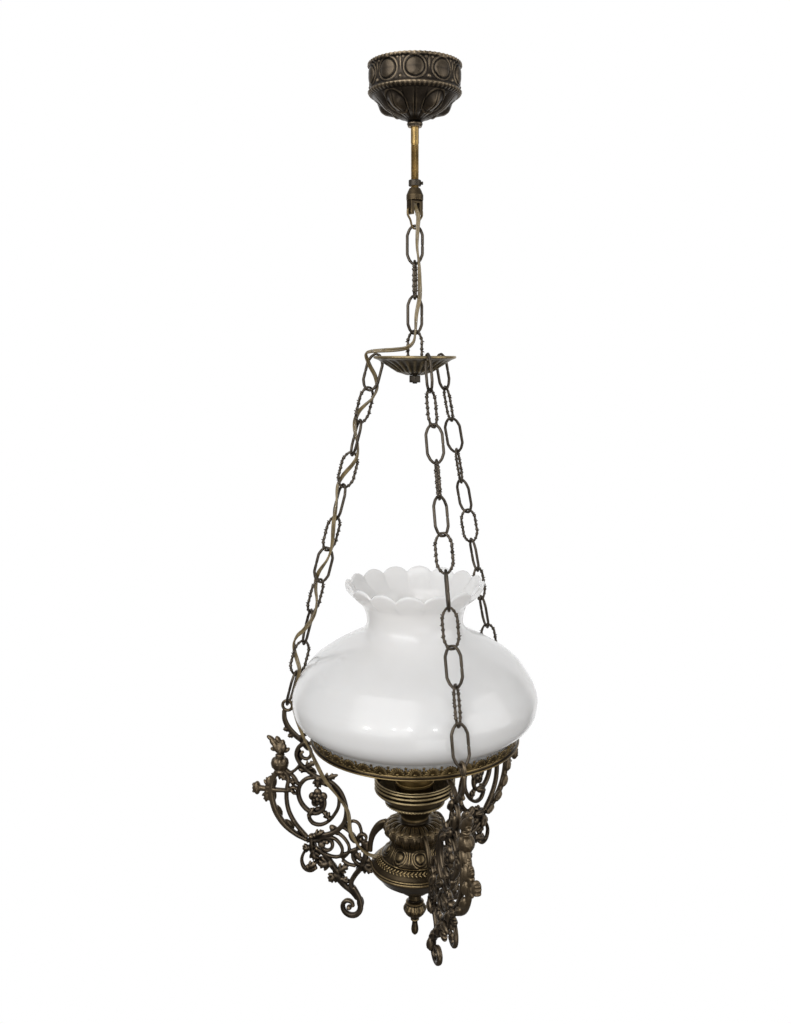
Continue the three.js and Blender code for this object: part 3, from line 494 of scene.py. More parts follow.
dark_steel = metal(
    "dark_steel", (0.008, 0.007, 0.006), (0.032, 0.027, 0.022), (0.1, 0.085, 0.065), (0.35, 0.55),
    relief=0.2, span=(0.45, 0.5, 0.62)
)
collar_profile = [(4.3, -117.2), (5.8, -117.2), (6.2, -116.8), (6.2, -111.6), (5.8, -111.2), (4.3, -111.2)]
collar = turned("grip_collar", collar_profile, 40)
screw = rod(0.0016, 0.0028, (0.0068, 0, -0.1142), 20, (0, math.radians(90), 0))
bpy.ops.object.mode_set(mode="EDIT")
bpy.ops.mesh.select_all(action="DESELECT")
bpy.ops.object.mode_set(mode="OBJECT")
for face in screw.data.polygons:
    face.select = face.normal.x > 0.9
bpy.ops.object.mode_set(mode="EDIT")
bpy.ops.mesh.inset(thickness=0.0005)
bpy.ops.mesh.extrude_region_move(TRANSFORM_OT_translate={"value": (-0.0009, 0, 0)})
bpy.ops.object.mode_set(mode="OBJECT")
soften(screw, 0.15)
fixed(joined("grip_collar", [collar, screw]), "ceiling", "steel", dark_steel, "collar")


# The yoke: a small cast bell screwed on the stem, with two legs bored for the bail. It is
# brass, browned, its corners lighter as rubbed brass and as painted highlight.
def casting(name, source, voxel, passes, share):
    """Melts loose or hard-edged parts into one soft casting, then thins its mesh."""
    pick(source)
    source.name = name
    melt = source.modifiers.new("melt", "REMESH")
    melt.mode = "VOXEL"
    melt.voxel_size = voxel / 1000
    bpy.ops.object.modifier_apply(modifier="melt")
    ease = source.modifiers.new("ease", "SMOOTH")
    ease.factor = 0.5
    ease.iterations = passes
    bpy.ops.object.modifier_apply(modifier="ease")
    thin = source.modifiers.new("thin", "DECIMATE")
    thin.ratio = share
    bpy.ops.object.modifier_apply(modifier="thin")
    source.data.shade_smooth()
    return source


def copied_solid(name, solid):
    """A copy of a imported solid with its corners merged."""
    piece = placed(name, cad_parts[solid].data.copy())
    pick(piece)
    bpy.ops.object.mode_set(mode="EDIT")
    bpy.ops.mesh.select_all(action="SELECT")
    bpy.ops.mesh.remove_doubles(threshold=1e-6)
    bpy.ops.object.mode_set(mode="OBJECT")
    return piece


brown_brass = metal(
    "brown_brass", (0.012, 0.008, 0.005), (0.062, 0.045, 0.026), (0.32, 0.235, 0.12), (0.3, 0.5)
)
cast_yoke = casting("cast_yoke", copied_solid("yoke_copy", "yoke"), 0.3, 5, 0.4)
fixed(cast_yoke, "ceiling", "old_brass", brown_brass, "yoke")


# The bail: a bent wire shackle whose ends turn in at the yoke's legs. The upper chain's
# first wire, round and browned.
def rounded(corners, cut, closed):
    """Replaces each corner of a wire's course with a short bend."""
    count = len(corners)
    course = []
    for i, corner in enumerate(corners):
        corner = Vector(corner)
        if not closed and i in (0, count - 1):
            course.append(corner)
            continue
        before, after = Vector(corners[i - 1]), Vector(corners[(i + 1) % count])
        a = corner + (before - corner).normalized() * min(cut, (before - corner).length * 0.45)
        b = corner + (after - corner).normalized() * min(cut, (after - corner).length * 0.45)
        for k in range(5):
            t = k / 4
            course.append(a.lerp(corner, t).lerp(corner.lerp(b, t), t))
    return course


def round_section(radius, sides=10):
    angles = [2 * math.pi * k / sides for k in range(sides)]
    return [(radius * math.cos(a), radius * math.sin(a)) for a in angles]


bail_turn = 40
half_bail = [
    (4, 0, -140), (8.4, 0, -140), (9.3, 0, -140.9), (9.3, 0, -145.6), (5.8, 0, -150.2), (4.2, 0, -155.55),
    (2, 0, -158.55),
]
bail_course = rounded([*half_bail, *[(-x, y, z) for x, y, z in reversed(half_bail)]], 1.6, False)
bail = swept("wire_bail", bail_course, lambda share: round_section(1.1, 12))
bail.data.transform(about_z(bail_turn))
fixed(bail, "bail", "old_brass", brown_brass, "bail")


# The chain links: bent brass wire in long eight-sided loops, each closed with a butt joint.
# Every second link is cast over with knobs, like a briar.
link_wire = 2.7
link_half = (link_pitch + link_wire) / 2
quarter = [(2.4, link_half), (5.6, link_half - 3.7), (7.8, 9.5)]
loop = [(x, 0, z) for x, z in quarter] + [(x, 0, -z) for x, z in reversed(quarter)]
loop += [(-x, 0, -z) for x, z in quarter] + [(-x, 0, z) for x, z in reversed(quarter)]


def plain_radius(share):
    """Thick wire, a little thinner at the ends, pinched at the butt joint half way up one side."""
    end = abs(((share * 2 + 0.04) % 1) - 0.5) * 2
    return 1.3 + 0.22 * (1 - max(0, end - 0.6) / 0.4) - 0.4 * math.exp(-(((share - 0.25) * 150) ** 2))


def briar_radius(share):
    """The wire with uneven knobs along both sides, none at the ends where links bear on each other."""
    around = (share * 2 + 0.04) % 1
    if not 0.14 < around < 0.86:
        return 1.25
    wave = math.cos((around - 0.5) / 0.72 * 6 * 2 * math.pi)
    return 1.3 + (0.62 + 0.2 * math.sin(share * 61)) * max(0, wave) ** 1.2


ring = rounded(loop, 1, True)
ring.append(ring[0])
link_course = evenly(ring, 110, 110)
plain_link = swept("plain_link", link_course, lambda share: round_section(plain_radius(share)), closed=True)
briar_course = evenly(ring, 170, 170)
briar_link = swept(
    "briar_link", briar_course, lambda share: round_section(briar_radius(share), 8), closed=True
)
thorns = []
for side in (-1, 1):
    for i, up in enumerate((-12.4, -7.6, -2.2, 3.2, 8, 12.8)):
        half = 7.8 if abs(up) < 9.5 else 7.8 - (abs(up) - 9.5) * 0.43
        front = 0.9 if (i + (side > 0)) % 2 else -0.9
        clear_selection()
        bpy.ops.mesh.primitive_cone_add(vertices=6, radius1=0.0011, radius2=0.0003, depth=0.0026)
        thorn = bpy.context.object
        lean = Vector((side, front * 0.8, 0.45 if i % 2 else -0.45))
        root = Matrix.Translation(Vector((side * (half + 1.15), front, up)) / 1000)
        thorn.data.transform(root @ lean.to_track_quat("Z", "Y").to_matrix().to_4x4())
        thorns.append(thorn)
briar_link = joined("briar_link", [briar_link, *thorns])
chain_brass = metal(
    "chain_brass", (0.006, 0.005, 0.0045), (0.024, 0.02, 0.017), (0.115, 0.095, 0.073), (0.28, 0.5)
)


def hung(link, name, place, body, solid):
    """A copy of a link at its own place on a chain."""
    mesh = link.data.copy()
    where = place.copy()
    where.translation = place.translation / 1000
    mesh.transform(where)
    fixed(placed(name, mesh), body, "old_brass", chain_brass, solid)


bail_drop = 17.2
for i, turn in enumerate((-15, 82, 27, -28)):
    middle = pin_level - bail_drop - i * link_pitch + link_wire / 2 - link_half
    place = Matrix.Translation((0, 0, middle)) @ about_z(turn)
    solid = f"upper_link_{i + 2}"
    hung(briar_link if i % 2 else plain_link, f"upper_chain_{i + 2}", place, solid, solid)
lower_turns = {
    "front": (0, 130, 75, -10, 110, 60, -15, 97, 47, -35, 90),
    "left": (0, 50, -60, 20, -50, 52, 0, 60, -60, 33, 90),
    "back": (0, 60, 120, 30, 90, 150, 60, 0, 60, -30, 90),
}
for side, turns in lower_turns.items():
    for i, turn in enumerate(turns):
        down = Matrix.Translation((0, 0, link_wire / 2 - i * link_pitch - link_half))
        place = chain_place(bearings[side]) @ down @ about_z(turn)
        pattern, number = briar_link if i % 2 else plain_link, f"{i + 1:02d}"
        hung(pattern, f"{side}_chain_{number}", place, f"{side}_chain", f"{side}_link_{number}")
for pattern in (plain_link, briar_link):
    bpy.data.objects.remove(pattern)


# The rose: a thin dark bronze casting that covers the ceiling bracket and slides on the
# stem. Ten framed bosses stand round its drum, and petals with five buds run to its neck.
def dense(points, step):
    """Profile points in millimetres, filled in at even steps with their corners kept."""
    full = []
    for (r0, z0), (r1, z1) in zip(points, points[1:]):
        count = max(1, round(math.hypot(r1 - r0, z1 - z0) / step))
        full += [(r0 + (r1 - r0) * k / count, z0 + (z1 - z0) * k / count) for k in range(count)]
    return [*full, points[-1]]


def relief(piece, height_at):
    """Moves the skin out along its normals by height_at(angle, radius, level, normal), in millimetres."""
    moves = []
    for vertex in piece.data.vertices:
        x, y, z = vertex.co * 1000
        rise = height_at(math.atan2(x, -y), math.hypot(x, y), z, vertex.normal)
        moves.append(vertex.normal * (rise / 1000))
    for vertex, move in zip(piece.data.vertices, moves):
        vertex.co += move
    piece.data.update()


def nearest(angle, count, offset=0):
    """The angle to the middle of the nearest of count like features."""
    pitch = 2 * math.pi / count
    return (angle - offset + pitch / 2) % pitch - pitch / 2


def hill(distance, width):
    """A smooth round hill, one high in the middle and none past its width."""
    share = min(abs(distance) / width, 1)
    return 0.5 + 0.5 * math.cos(math.pi * share)


bosses, boss_level, boss_radius = 10, -13.6, 9


def rose_relief(angle, radius, level, normal):
    outside = normal.x * math.sin(angle) - normal.y * math.cos(angle)
    if outside < 0.05 and level > -45:
        return 0
    out = 0
    if level > -30 and radius > 42:
        across = radius * nearest(angle, bosses)
        apart = math.hypot(across, level - boss_level)
        if apart < boss_radius:
            out += 3 * math.sqrt(1 - (apart / boss_radius) ** 2)
        out += 1.2 * hill(apart - 10.6, 1.1)
        beside = abs(radius * nearest(angle, bosses, math.pi / bosses))
        out += 1.2 * hill(beside, 1.2) * hill(level + 9, 9)
        out += 1.5 * hill(math.hypot(beside, level + 22), 3)
        out += hill(math.hypot(beside - 2.9, level + 4.6), 1.9)
    if -31 < level < -26.4 or level > -3.2:
        out += 0.5 * hill(nearest(angle, 60) * 46, 1.9)
    if level < -31 and radius > 8:
        petal = nearest(angle, bosses)
        rise = hill(radius - 26, 19)
        out += rise * (2.4 * abs(math.cos(5 * petal)) ** 0.6 - 1.2 * hill(petal * radius, 1.1))
        bud = math.hypot(radius * nearest(angle, 5, math.pi / 5), (level + 40) * 1.2)
        out += 3.4 * hill(bud, 9.5) + 0.7 * hill(bud - 10.5, 1.3)
    return out


rose_outer = [
    (4.5, -60), (6.7, -60), (7.9, -57), (7.1, -55), (11, -52.5), (19, -48.5), (29, -42), (37, -35),
    (41.5, -31), (45, -29), (46, -27), (44.2, -24), (43.6, -13.5), (44.4, -3.5), (46, -2), (46, -0.3),
]
rose_inner = [(42, -0.3), (41.2, -13.5), (41, -27), (34.6, -33), (26.6, -39.5), (18, -46.2), (4.5, -50.5)]
rose = turned("cast_rose", [*dense(rose_outer, 0.9), *dense(rose_inner, 6)], 320, smooth=60)
relief(rose, rose_relief)
rose.data.shade_smooth()
dark_bronze = metal(
    "dark_bronze", (0.009, 0.0075, 0.006), (0.064, 0.051, 0.039), (0.3, 0.235, 0.155), (0.3, 0.5),
    relief=0.35
)
fixed(rose, "rose", "dark_bronze", dark_bronze, "canopy")


# The spreader: a spun and fluted brass dish with a rolled rim. Three holes near its rim
# carry the lower chains, and an eye bolt carries it.
def cut_away(piece, cutter):
    """Cuts one piece's shape out of another."""
    pick(piece)
    cut = piece.modifiers.new("cut", "BOOLEAN")
    cut.operation = "DIFFERENCE"
    cut.solver = "EXACT"
    cut.object = cutter
    bpy.ops.object.modifier_apply(modifier="cut")
    bpy.data.objects.remove(cutter)


flute_count = 26


def flutes(angle, radius, level, normal):
    if not 9 < radius < 38.5:
        return 0
    depth = 0.9 * hill(radius - 26, 14) + 0.25
    ridge = 0.5 + 0.5 * math.cos(flute_count * angle)
    lip = hill(radius - 38, 3.5)
    return depth * (1 - lip) * (ridge - 0.5) * (1 if normal.z < 0 else -1)


dish_under = [
    (2.8, -17.9), (8, -17.9), (18, -14.5), (26, -9), (33, -4.8), (37, -2.6), (40.5, -1.4), (41.5, -0.8),
]
dish_over = [
    (41.5, 0.8), (40.7, 1.4), (39, 1.4), (37.2, 0.4), (33, -2.4), (26, -6.8), (18, -12.6), (8, -15.9),
    (2.8, -15.9),
]
dish_profile = [*dense(dish_under, 1.4), *dense(dish_over, 1.4)]
hole_out = 0.0343
dish = turned("fluted_dish", dish_profile, 208, 60, rim_level)
relief(dish, flutes)
for bearing in bearings.values():
    hole = about_z(bearing) @ Vector((0, -hole_out, (rim_level - 2) / 1000))
    cut_away(dish, rod(0.0029, 0.014, hole, 24))
dish.data.shade_smooth()
olive_brass = metal(
    "olive_brass", (0.012, 0.009, 0.005), (0.078, 0.058, 0.03), (0.36, 0.28, 0.15), (0.28, 0.48)
)
fixed(dish, "spreader", "old_brass", olive_brass, "spreader")

# The eye bolt and its nut: plain steel, darkened, holding the dish to the upper chain's
# last link.
def wire_ring(radius, half_wire, steps, sides, place):
    """A ring of round wire that stands across Y, in metres."""
    clear_selection()
    bpy.ops.mesh.primitive_torus_add(
        major_radius=radius, minor_radius=half_wire, major_segments=steps, minor_segments=sides,
        location=place, rotation=(math.radians(90), 0, 0),
    )
    ring = bpy.context.object
    settle(ring)
    return ring


eye = wire_ring(0.003, 0.0012, 32, 14, (0, 0, (rim_level - 11.15) / 1000))
shank_profile = [(0, -26.4), (2.1, -26.4)] + thread(2.5, -26.2, -18, 0.25, 0.8)
shank_profile += [(2.5, -17.8), (2.5, -15), (1.6, -14), (0, -14)]
shank = turned("eye_shank", shank_profile, 24, level=rim_level)
eye_bolt = joined("eye_and_shank", [eye, shank])
eye_bolt.data.transform(about_z(60))
eye_bolt.data.shade_smooth()
fixed(eye_bolt, "spreader", "steel", dark_steel, "eye_bolt")

nut_middle = (0, 0, (rim_level - 21.7) / 1000)
hex_nut = rod(0.00635, 0.007, nut_middle, 6)
hex_nut.name = "hex_nut"
cut_away(hex_nut, rod(0.0028, 0.01, nut_middle, 32))
soften(hex_nut, 0.5, 3)
fixed(hex_nut, "spreader", "steel", dark_steel, "eye_nut")


# The shade: mould-blown opal glass, three millimetres thick and fire-polished, with a wide
# belly and a mouth crimped into sixteen scallops. It stands loose in the gallery.
shade_line = [
    (101.5, 0.3), (101.5, 3), (101.7, 7), (103.5, 11), (110.5, 15.2), (119, 22), (123.6, 29.5),
    (125.2, 37.5), (125.2, 46), (121.2, 57), (115.4, 66.5), (108.6, 76.5), (101, 83.5), (91, 90.5),
    (81, 96.5), (70.5, 102), (61.5, 106.6), (56, 109.8), (51.3, 114.6), (49.4, 120), (49.5, 126),
    (50.9, 132.5), (53.8, 139.2), (59.2, 145), (65, 151), (69, 157), (71, 161.2),
]
glass_thickness = 3
line = through([(r, 0, z) for r, z in shade_line], 90)
inner_line = []
for i, point in enumerate(line):
    run = (line[min(i + 1, len(line) - 1)] - line[max(i - 1, 0)]).normalized()
    inner_line.append(point + Vector((-run.z, 0, run.x)) * glass_thickness)
lip = []
for share in (0.2, 0.5, 0.8):
    bulge = Vector((0.2, 0, 1.1)) * math.sin(math.pi * share)
    lip.append(line[-1].lerp(inner_line[-1], share) + bulge)
glass_profile = [(p.x, p.z) for p in [*line, *lip, *reversed(inner_line)]]
glass_shade = turned("opal_shade", glass_profile, 320, 70, seat_level)
scallops, scallop_drop = 16, 7.2
crimp_from, crimp_height = 138, 24
for vertex in glass_shade.data.vertices:
    x, y, z = vertex.co * 1000
    share = min(max((z - seat_level - crimp_from) / crimp_height, 0), 1)
    if share > 0:
        hump = abs(math.cos(scallops / 2 * (math.atan2(x, -y) + 0.07))) ** 0.6
        grow = 1 + share ** 1.5 * 0.02 * (hump - 0.75)
        vertex.co = Vector((x * grow, y * grow, z - scallop_drop * share ** 1.4 * (1 - hump))) / 1000
glass_shade.data.shade_smooth()

opal_glass, tree, shader, milk = clouded(
    "opal_glass", 9, 3, (0.35, (0.86, 0.84, 0.82)), (0.7, (0.91, 0.9, 0.885)),
    Roughness=0.2, IOR=1.5, Specular_IOR_Level=0.4, Subsurface_Weight=0.6, Subsurface_Scale=0.014,
    Subsurface_Radius=(1, 0.95, 0.9), Coat_Weight=0.35, Coat_Roughness=0.03,
)
swirl = node(tree, "ShaderNodeBump", Strength=0.12, Distance=0.002)
wire(tree, (milk, "Fac", swirl, "Height"), (swirl, "Normal", shader, "Normal"))
fixed(glass_shade, "shade", "opal_glass", opal_glass, "shade")


# The gallery: a spun brass ring that the shade stands in, with a pierced crest of palm
# leaves soldered round it. Brown, with the leaves' edges lighter in gold, as rubbed brass and as painted
# highlight.
def lobe(centre, along, across, through_it, turn, detail=1):
    """A cast leaf lobe or bead: a stretched ball in the XZ plane, turned about Y, in millimetres."""
    clear_selection()
    bpy.ops.mesh.primitive_ico_sphere_add(subdivisions=detail, radius=0.001, location=(0, 0, 0))
    ball = bpy.context.object
    shape_it = Matrix.Translation(Vector(centre) / 1000) @ Matrix.Rotation(-math.radians(turn), 4, "Y")
    ball.data.transform(shape_it @ Matrix.Diagonal((along / 2, through_it / 2, across / 2, 1)))
    return ball


def around(name, unit, count, radius_of):
    """Copies a flat unit round the lamp's axis. radius_of gives the radius for a height."""
    verts, faces = [], []
    size = len(unit.data.vertices)
    for k in range(count):
        turn = 2 * math.pi * k / count
        for vertex in unit.data.vertices:
            x, y, z = vertex.co * 1000
            radius = radius_of(z) - y
            angle = turn + x / radius_of(z)
            verts.append(
                (radius * math.sin(angle) / 1000, -radius * math.cos(angle) / 1000, (z + seat_level) / 1000)
            )
        faces += [tuple(k * size + v for v in face.vertices) for face in unit.data.polygons]
    mesh = bpy.data.meshes.new(name)
    mesh.from_pydata(verts, [], faces)
    bpy.data.objects.remove(unit)
    mesh.shade_smooth()
    return placed(name, mesh)


def crest_radius(height):
    return 104.2 + 3.2 * min(max(height / 12, 0), 1) ** 1.3


gallery_profile = [
    (91.5, -2), (106.2, -2), (107.2, -1.5), (107.5, -0.9), (107.1, -0.2), (105.9, 0.1), (105.6, 0.9),
    (105.2, 2.2), (104.2, 2.4), (103.4, 1.6), (102, 0.4), (102, 0), (91.5, 0),
]
gallery_ring = turned("gallery_ring", gallery_profile, 160, 50, seat_level)
crest_brass = metal(
    "crest_brass", (0.004, 0.003, 0.002), (0.026, 0.018, 0.01), (0.42, 0.3, 0.13), (0.2, 0.38),
    span=(0.49, 0.59, 0.8)
)
ring_brass = metal(
    "ring_brass", (0.006, 0.004, 0.003), (0.045, 0.032, 0.018), (0.42, 0.3, 0.13), (0.22, 0.4),
    span=(0.46, 0.51, 0.6)
)
fixed(gallery_ring, "lamp", "old_brass", ring_brass, "gallery")
fan = []
for k in range(9):
    a = math.radians(90 + (k - 4) * 20.5)
    reach = 8.2 - 0.1 * abs(k - 4)
    middle = (reach * 0.6 * math.cos(a), 0, 3.1 + reach * 0.54 * math.sin(a))
    fan.append(lobe(middle, reach * 1.06, 3.7, 1.9, math.degrees(a)))
fan += [lobe((0, -0.5, 3.2), 4.6, 3.4, 2.2, 0), lobe((0, 0, 1.4), 2, 2.6, 1.6, 0)]
fan += [lobe((side * 5.6, 0, 1.8), 5.6, 2.4, 1.6, 90 - side * 50) for side in (-1, 1)]
fan += [
    lobe((8.4, 0, 6.6), 7, 3.4, 1.7, 90), lobe((8.4, 0, 10.4), 3.4, 3.2, 1.8, 0),
    lobe((8.4, 0, 2.4), 4.4, 2.2, 1.6, 90)
]
fan += [lobe((4.2 * k - 4.2, 0, 0.9), 4.9, 2.2, 1.8, 0) for k in range(4)]
crest = around("palm_crest", joined("palm_unit", fan), 40, crest_radius)
fixed(crest, "lamp", "old_brass", crest_brass, "gallery")


# The burner cup: a spun brass bowl on the font's neck, three rolled ridges at its waist and
# a row of beads where it turns in. It hides the lampholder.
cup_profile = [
    (5, -84.85), (14.5, -84.85), (14.9, -83.6), (16.5, -81), (17.6, -79.4), (20.2, -76.5), (23.6, -73.6),
    (26.8, -71), (29.9, -70.4), (30.6, -69.4), (30.1, -68.4), (29.4, -67.6), (31.8, -65.2), (34.2, -63),
    (36.4, -61), (39.2, -58.6), (40.2, -57.2), (41.6, -56.2), (42, -55.2), (41.4, -54.1), (40.1, -53.4),
    (41.5, -52), (42, -50.8), (41.4, -49.6), (40.2, -49), (41.4, -48.1), (42, -46.9), (41.5, -45.8),
    (40.6, -45.2), (41.2, -44.5), (41, -44), (40, -44), (39.2, -55), (33, -61.5), (25.5, -69.5),
    (14.5, -78.5), (12, -82.85), (5, -82.85),
]
cup = turned("burner_bowl", cup_profile, 128, 28, seat_level)
bead = lobe((0, 0, -69.4), 2.6, 2, 1.6, 0)
beads = around("bowl_beads", bead, 56, lambda height: 30.6)
fixed(joined("burner_bowl", [cup, beads]), "lamp", "old_brass", olive_brass, "burner_cup")

# The lampholder: a plain brass socket on the cup's floor, and in it a clear pear bulb with
# a brass cap, all hidden by the cup and the gallery from the front.
holder_profile = [
    (0, -82.25), (10.5, -82.25), (13.5, -77), (19, -72), (19.3, -66), (19.9, -65.5), (19.9, -63.5),
    (19.3, -63), (19.4, -50), (19.9, -49.5), (19.9, -47.5), (19.4, -47), (19.2, -40), (18.5, -36),
    (14.2, -36), (14.2, -62), (0, -62),
]
holder = turned("brass_holder", holder_profile, 64, level=seat_level)
fixed(holder, "lamp", "bright_brass", bright_brass, "lampholder")
bulb_profile = [(0, -61.7), (6, -61.7), (11.7, -59), *thread(13.2, -58.5, -40, 0.5, 3)]
bulb_profile += [
    (13.2, -36), (15, -30), (18.4, -22.5), (22, -14), (25.6, -5.6), (28, 1), (29.6, 7.6), (30, 14),
    (29.6, 19.8), (28.3, 25), (25.9, 30.3), (22.5, 35), (17.8, 39.2), (12.5, 42), (6, 44), (0, 44.5),
]
bulb = turned("pear_bulb", bulb_profile, 64, 60, seat_level)
clear_glass = clouded(
    "clear_glass", 40, 2, (0, (0.86, 0.85, 0.82)), (1, (0.95, 0.95, 0.93)),
    Roughness=0.05, IOR=1.45, Transmission_Weight=0.85,
)[0]
fixed(bulb, "bulb", "clear_glass", clear_glass, "bulb")


# The font: a cast and chased brass vessel that held the oil. Leaves stand round its collar,
# eight framed bosses on its shoulder, and a laurel band over its widest ring.
collar_leaves, font_bosses = 16, 8


def font_relief(angle, radius, level, normal):
    level -= seat_level
    out = 0
    if -116 < level < -93 and radius > 23:
        leaf = nearest(angle, collar_leaves)
        out += 1.3 * hill(level + 104, 11) * abs(math.cos(collar_leaves / 2 * leaf)) ** 0.5
        out -= 0.8 * hill(leaf * radius, 0.7) * hill(level + 104, 9)
    if level > -97 and radius > 15.5:
        leaf = nearest(angle, collar_leaves)
        rise = hill(radius - 22.5, 7.5)
        out += rise * (1.8 * abs(math.cos(collar_leaves / 2 * leaf)) ** 0.5 - hill(leaf * radius, 0.8))
    if -127 < level < -109 and radius > 24:
        turn = math.pi / 2 / font_bosses
        across = radius * nearest(angle, font_bosses, turn)
        apart = math.hypot(across, (level + 118.4) * 1.15)
        if apart < 4.6:
            out += 1.9 * math.sqrt(1 - (apart / 4.6) ** 2)
        out += 0.75 * hill(apart - 6.1, 0.9) + 0.6 * hill(apart - 8.2, 0.9)
        between = radius * nearest(angle, font_bosses, 3 * turn)
        out += 0.9 * hill(between, 1.1) * hill(level + 118, 8)
    return out


font_outer = [
    (3.8, -169), (9.8, -169), (10.6, -167.8), (15, -165.5), (18, -163), (22, -159), (23, -157.6),
    (26, -157), (30, -155), (33.4, -152), (35.8, -151), (36.2, -150), (37, -149.3), (39, -147),
    (42, -143.6), (44.7, -140.6), (46.1, -138.6), (46.5, -137.5), (46.1, -136.6), (45.2, -136.2),
    (45.6, -135.4), (45.3, -134.7), (44.2, -134.4), (41.4, -131.6), (38, -128.6), (35.6, -126.8),
    (35.8, -126), (35.2, -125.5), (34.2, -125.6), (33.6, -125), (31, -123), (28.2, -119), (26, -115.8),
    (24.9, -113), (25, -110), (27, -104.8), (28.2, -100), (28.6, -97), (28.9, -95), (28.4, -94), (27, -93),
    (25, -92.2), (20, -90.4), (15.4, -89.5), (14.5, -88.6), (14.5, -85.2),
]
font_inner = [
    (12, -85.2), (12, -92.5), (22, -96), (21.6, -114), (29, -126.5), (41, -136), (42, -139), (32, -149),
    (14, -162.5), (8, -164.5), (3.8, -164.5),
]
font = turned("chased_font", [*dense(font_outer, 0.8), *dense(font_inner, 6)], 256, 60, seat_level)
relief(font, font_relief)
entry = beside_plate @ Vector((0.042, flex_off_plate / 1000, (seat_level - 131.4) / 1000))
inwards = (0, math.radians(90), math.radians(bearings["left"] - 90))
cut_away(font, rod(0.0032, 0.034, entry, 28, inwards))
font.data.shade_smooth()
laurel_level = -129
laurel = [lobe((1.7, 0, laurel_level - 1 + 1.9 * row), 4.6, 1.5, 1.1, 40 if row else -40) for row in (0, 1)]
laurel.append(lobe((0, 0, laurel_level), 1.6, 0.9, 0.9, 0))


def laurel_radius(height):
    return 38.4 + (laurel_level - height) * 0.98


laurel_band = around("laurel_band", joined("laurel_unit", laurel), 60, laurel_radius)
chased_brass = metal(
    "chased_brass", (0.008, 0.006, 0.004), (0.07, 0.051, 0.028), (0.42, 0.31, 0.155), (0.24, 0.44),
    span=(0.46, 0.505, 0.57)
)
font = joined("chased_font", [font, laurel_band])
fixed(font, "lamp", "old_brass", chased_brass, "font")


# The cradle: a flat ring under the font's collar with three bowed strap arms that carry it
# to the brackets' feet.
def stroke(course, widths, depth):
    """One bar of a flat casting: a course in the XZ plane with its width at even shares, in millimetres."""
    def section(share):
        place = share * (len(widths) - 1)
        i = min(int(place), len(widths) - 2)
        half = 0.5 * (widths[i] + (widths[i + 1] - widths[i]) * (place - i))
        outline = []
        for k in range(10):
            a = 2 * math.pi * (k + 0.5) / 10
            x, y = math.cos(a), math.sin(a)
            flat, high = math.copysign(abs(x) ** 0.75, x), math.copysign(abs(y) ** 0.75, y)
            outline.append((depth / 2 * flat, half * high))
        return outline
    length = sum(math.dist(a, b) for a, b in zip(course, course[1:]))
    points = through([(r, 0, z) for r, z in course], max(8, int(length / 1.6)))
    return swept("bar", points, section, side=Vector((0, 1, 0)))


def on_seat(bearing):
    """Stands on the lamp's axis at the seat's height, with +X towards a bearing."""
    return Matrix.Translation((0, 0, seat_level / 1000)) @ about_z(bearing - 90)


arm_course = [(30, -96.5), (35.6, -98.6), (41.5, -104.4), (45.8, -112), (47.6, -120), (48, -129)]
arms = []
for bearing in bearings.values():
    arm = stroke(arm_course, (9.5, 9, 7, 5.6, 4.6), 5)
    arm.data.transform(on_seat(bearing))
    arms.append(arm)
cradle_profile = [(29, -99.5), (31.2, -99.5), (31.6, -99), (31.6, -95), (31.2, -94.5), (29, -94.5)]
hoop = turned("cradle_hoop", cradle_profile, 96, level=seat_level)


def lappet_radius(height):
    """How far out the collar's leaves lie at a height: over the shoulder, the hoop and the waist."""
    if height > -94:
        return 30.9 - (height + 94) * 1.7
    return 30.9 if height > -100 else 30.9 + (height + 100) * 0.44


lappet = [
    lobe((0, 0.4, -98.6), 15, 9.6, 2.4, 90, 2), lobe((0, -0.4, -99.4), 11.5, 6, 2.2, 90, 2),
    lobe((0, -0.9, -99.8), 8.5, 2.6, 2.4, 90, 2),
]
lappets = around("lappets", joined("lappet", lappet), 20, lappet_radius)
cradle = joined("font_straps", [hoop, lappets, *arms])
strap_bronze = metal(
    "strap_bronze", (0.005, 0.004, 0.003), (0.042, 0.032, 0.021), (0.25, 0.185, 0.105), (0.28, 0.46),
    span=(0.47, 0.53, 0.64)
)
fixed(cradle, "lamp", "dark_bronze", strap_bronze, "font_cradle")


# The brackets: three like castings in dark bronze, filed up by hand. Each hooks a chain's last
# link, carries the gallery on a shelf, and ends in an arm with a flame and a scrolled foot.
def heading(degrees):
    """One step in the plate's own plane, at an angle above its outward axis."""
    return Vector((math.cos(math.radians(degrees)), 0, math.sin(math.radians(degrees))))


def leaf(root, tip, width, thick, fans=2):
    """A leaf of overlapping lobes between two points, in millimetres."""
    root, tip = Vector((root[0], 0, root[1])), Vector((tip[0], 0, tip[1]))
    run = tip - root
    turn = math.degrees(math.atan2(run.z, run.x))
    parts = [lobe(root.lerp(tip, 0.5), run.length * 1.08, width * 0.5, thick, turn, 2)]
    parts.append(lobe(root.lerp(tip, 0.12), width * 0.5, width * 0.66, thick * 0.95, turn, 2))
    for i in range(fans):
        at = root.lerp(tip, 0.2 + 0.3 * i)
        size = 1 - 0.25 * i
        for side in (-1, 1):
            lean = turn + side * (46 - 10 * i)
            out = heading(lean) * width * 0.3 * size
            parts.append(lobe(at + out, width * 0.95 * size, width * 0.36 * size, thick * 0.7, lean, 2))
    return parts


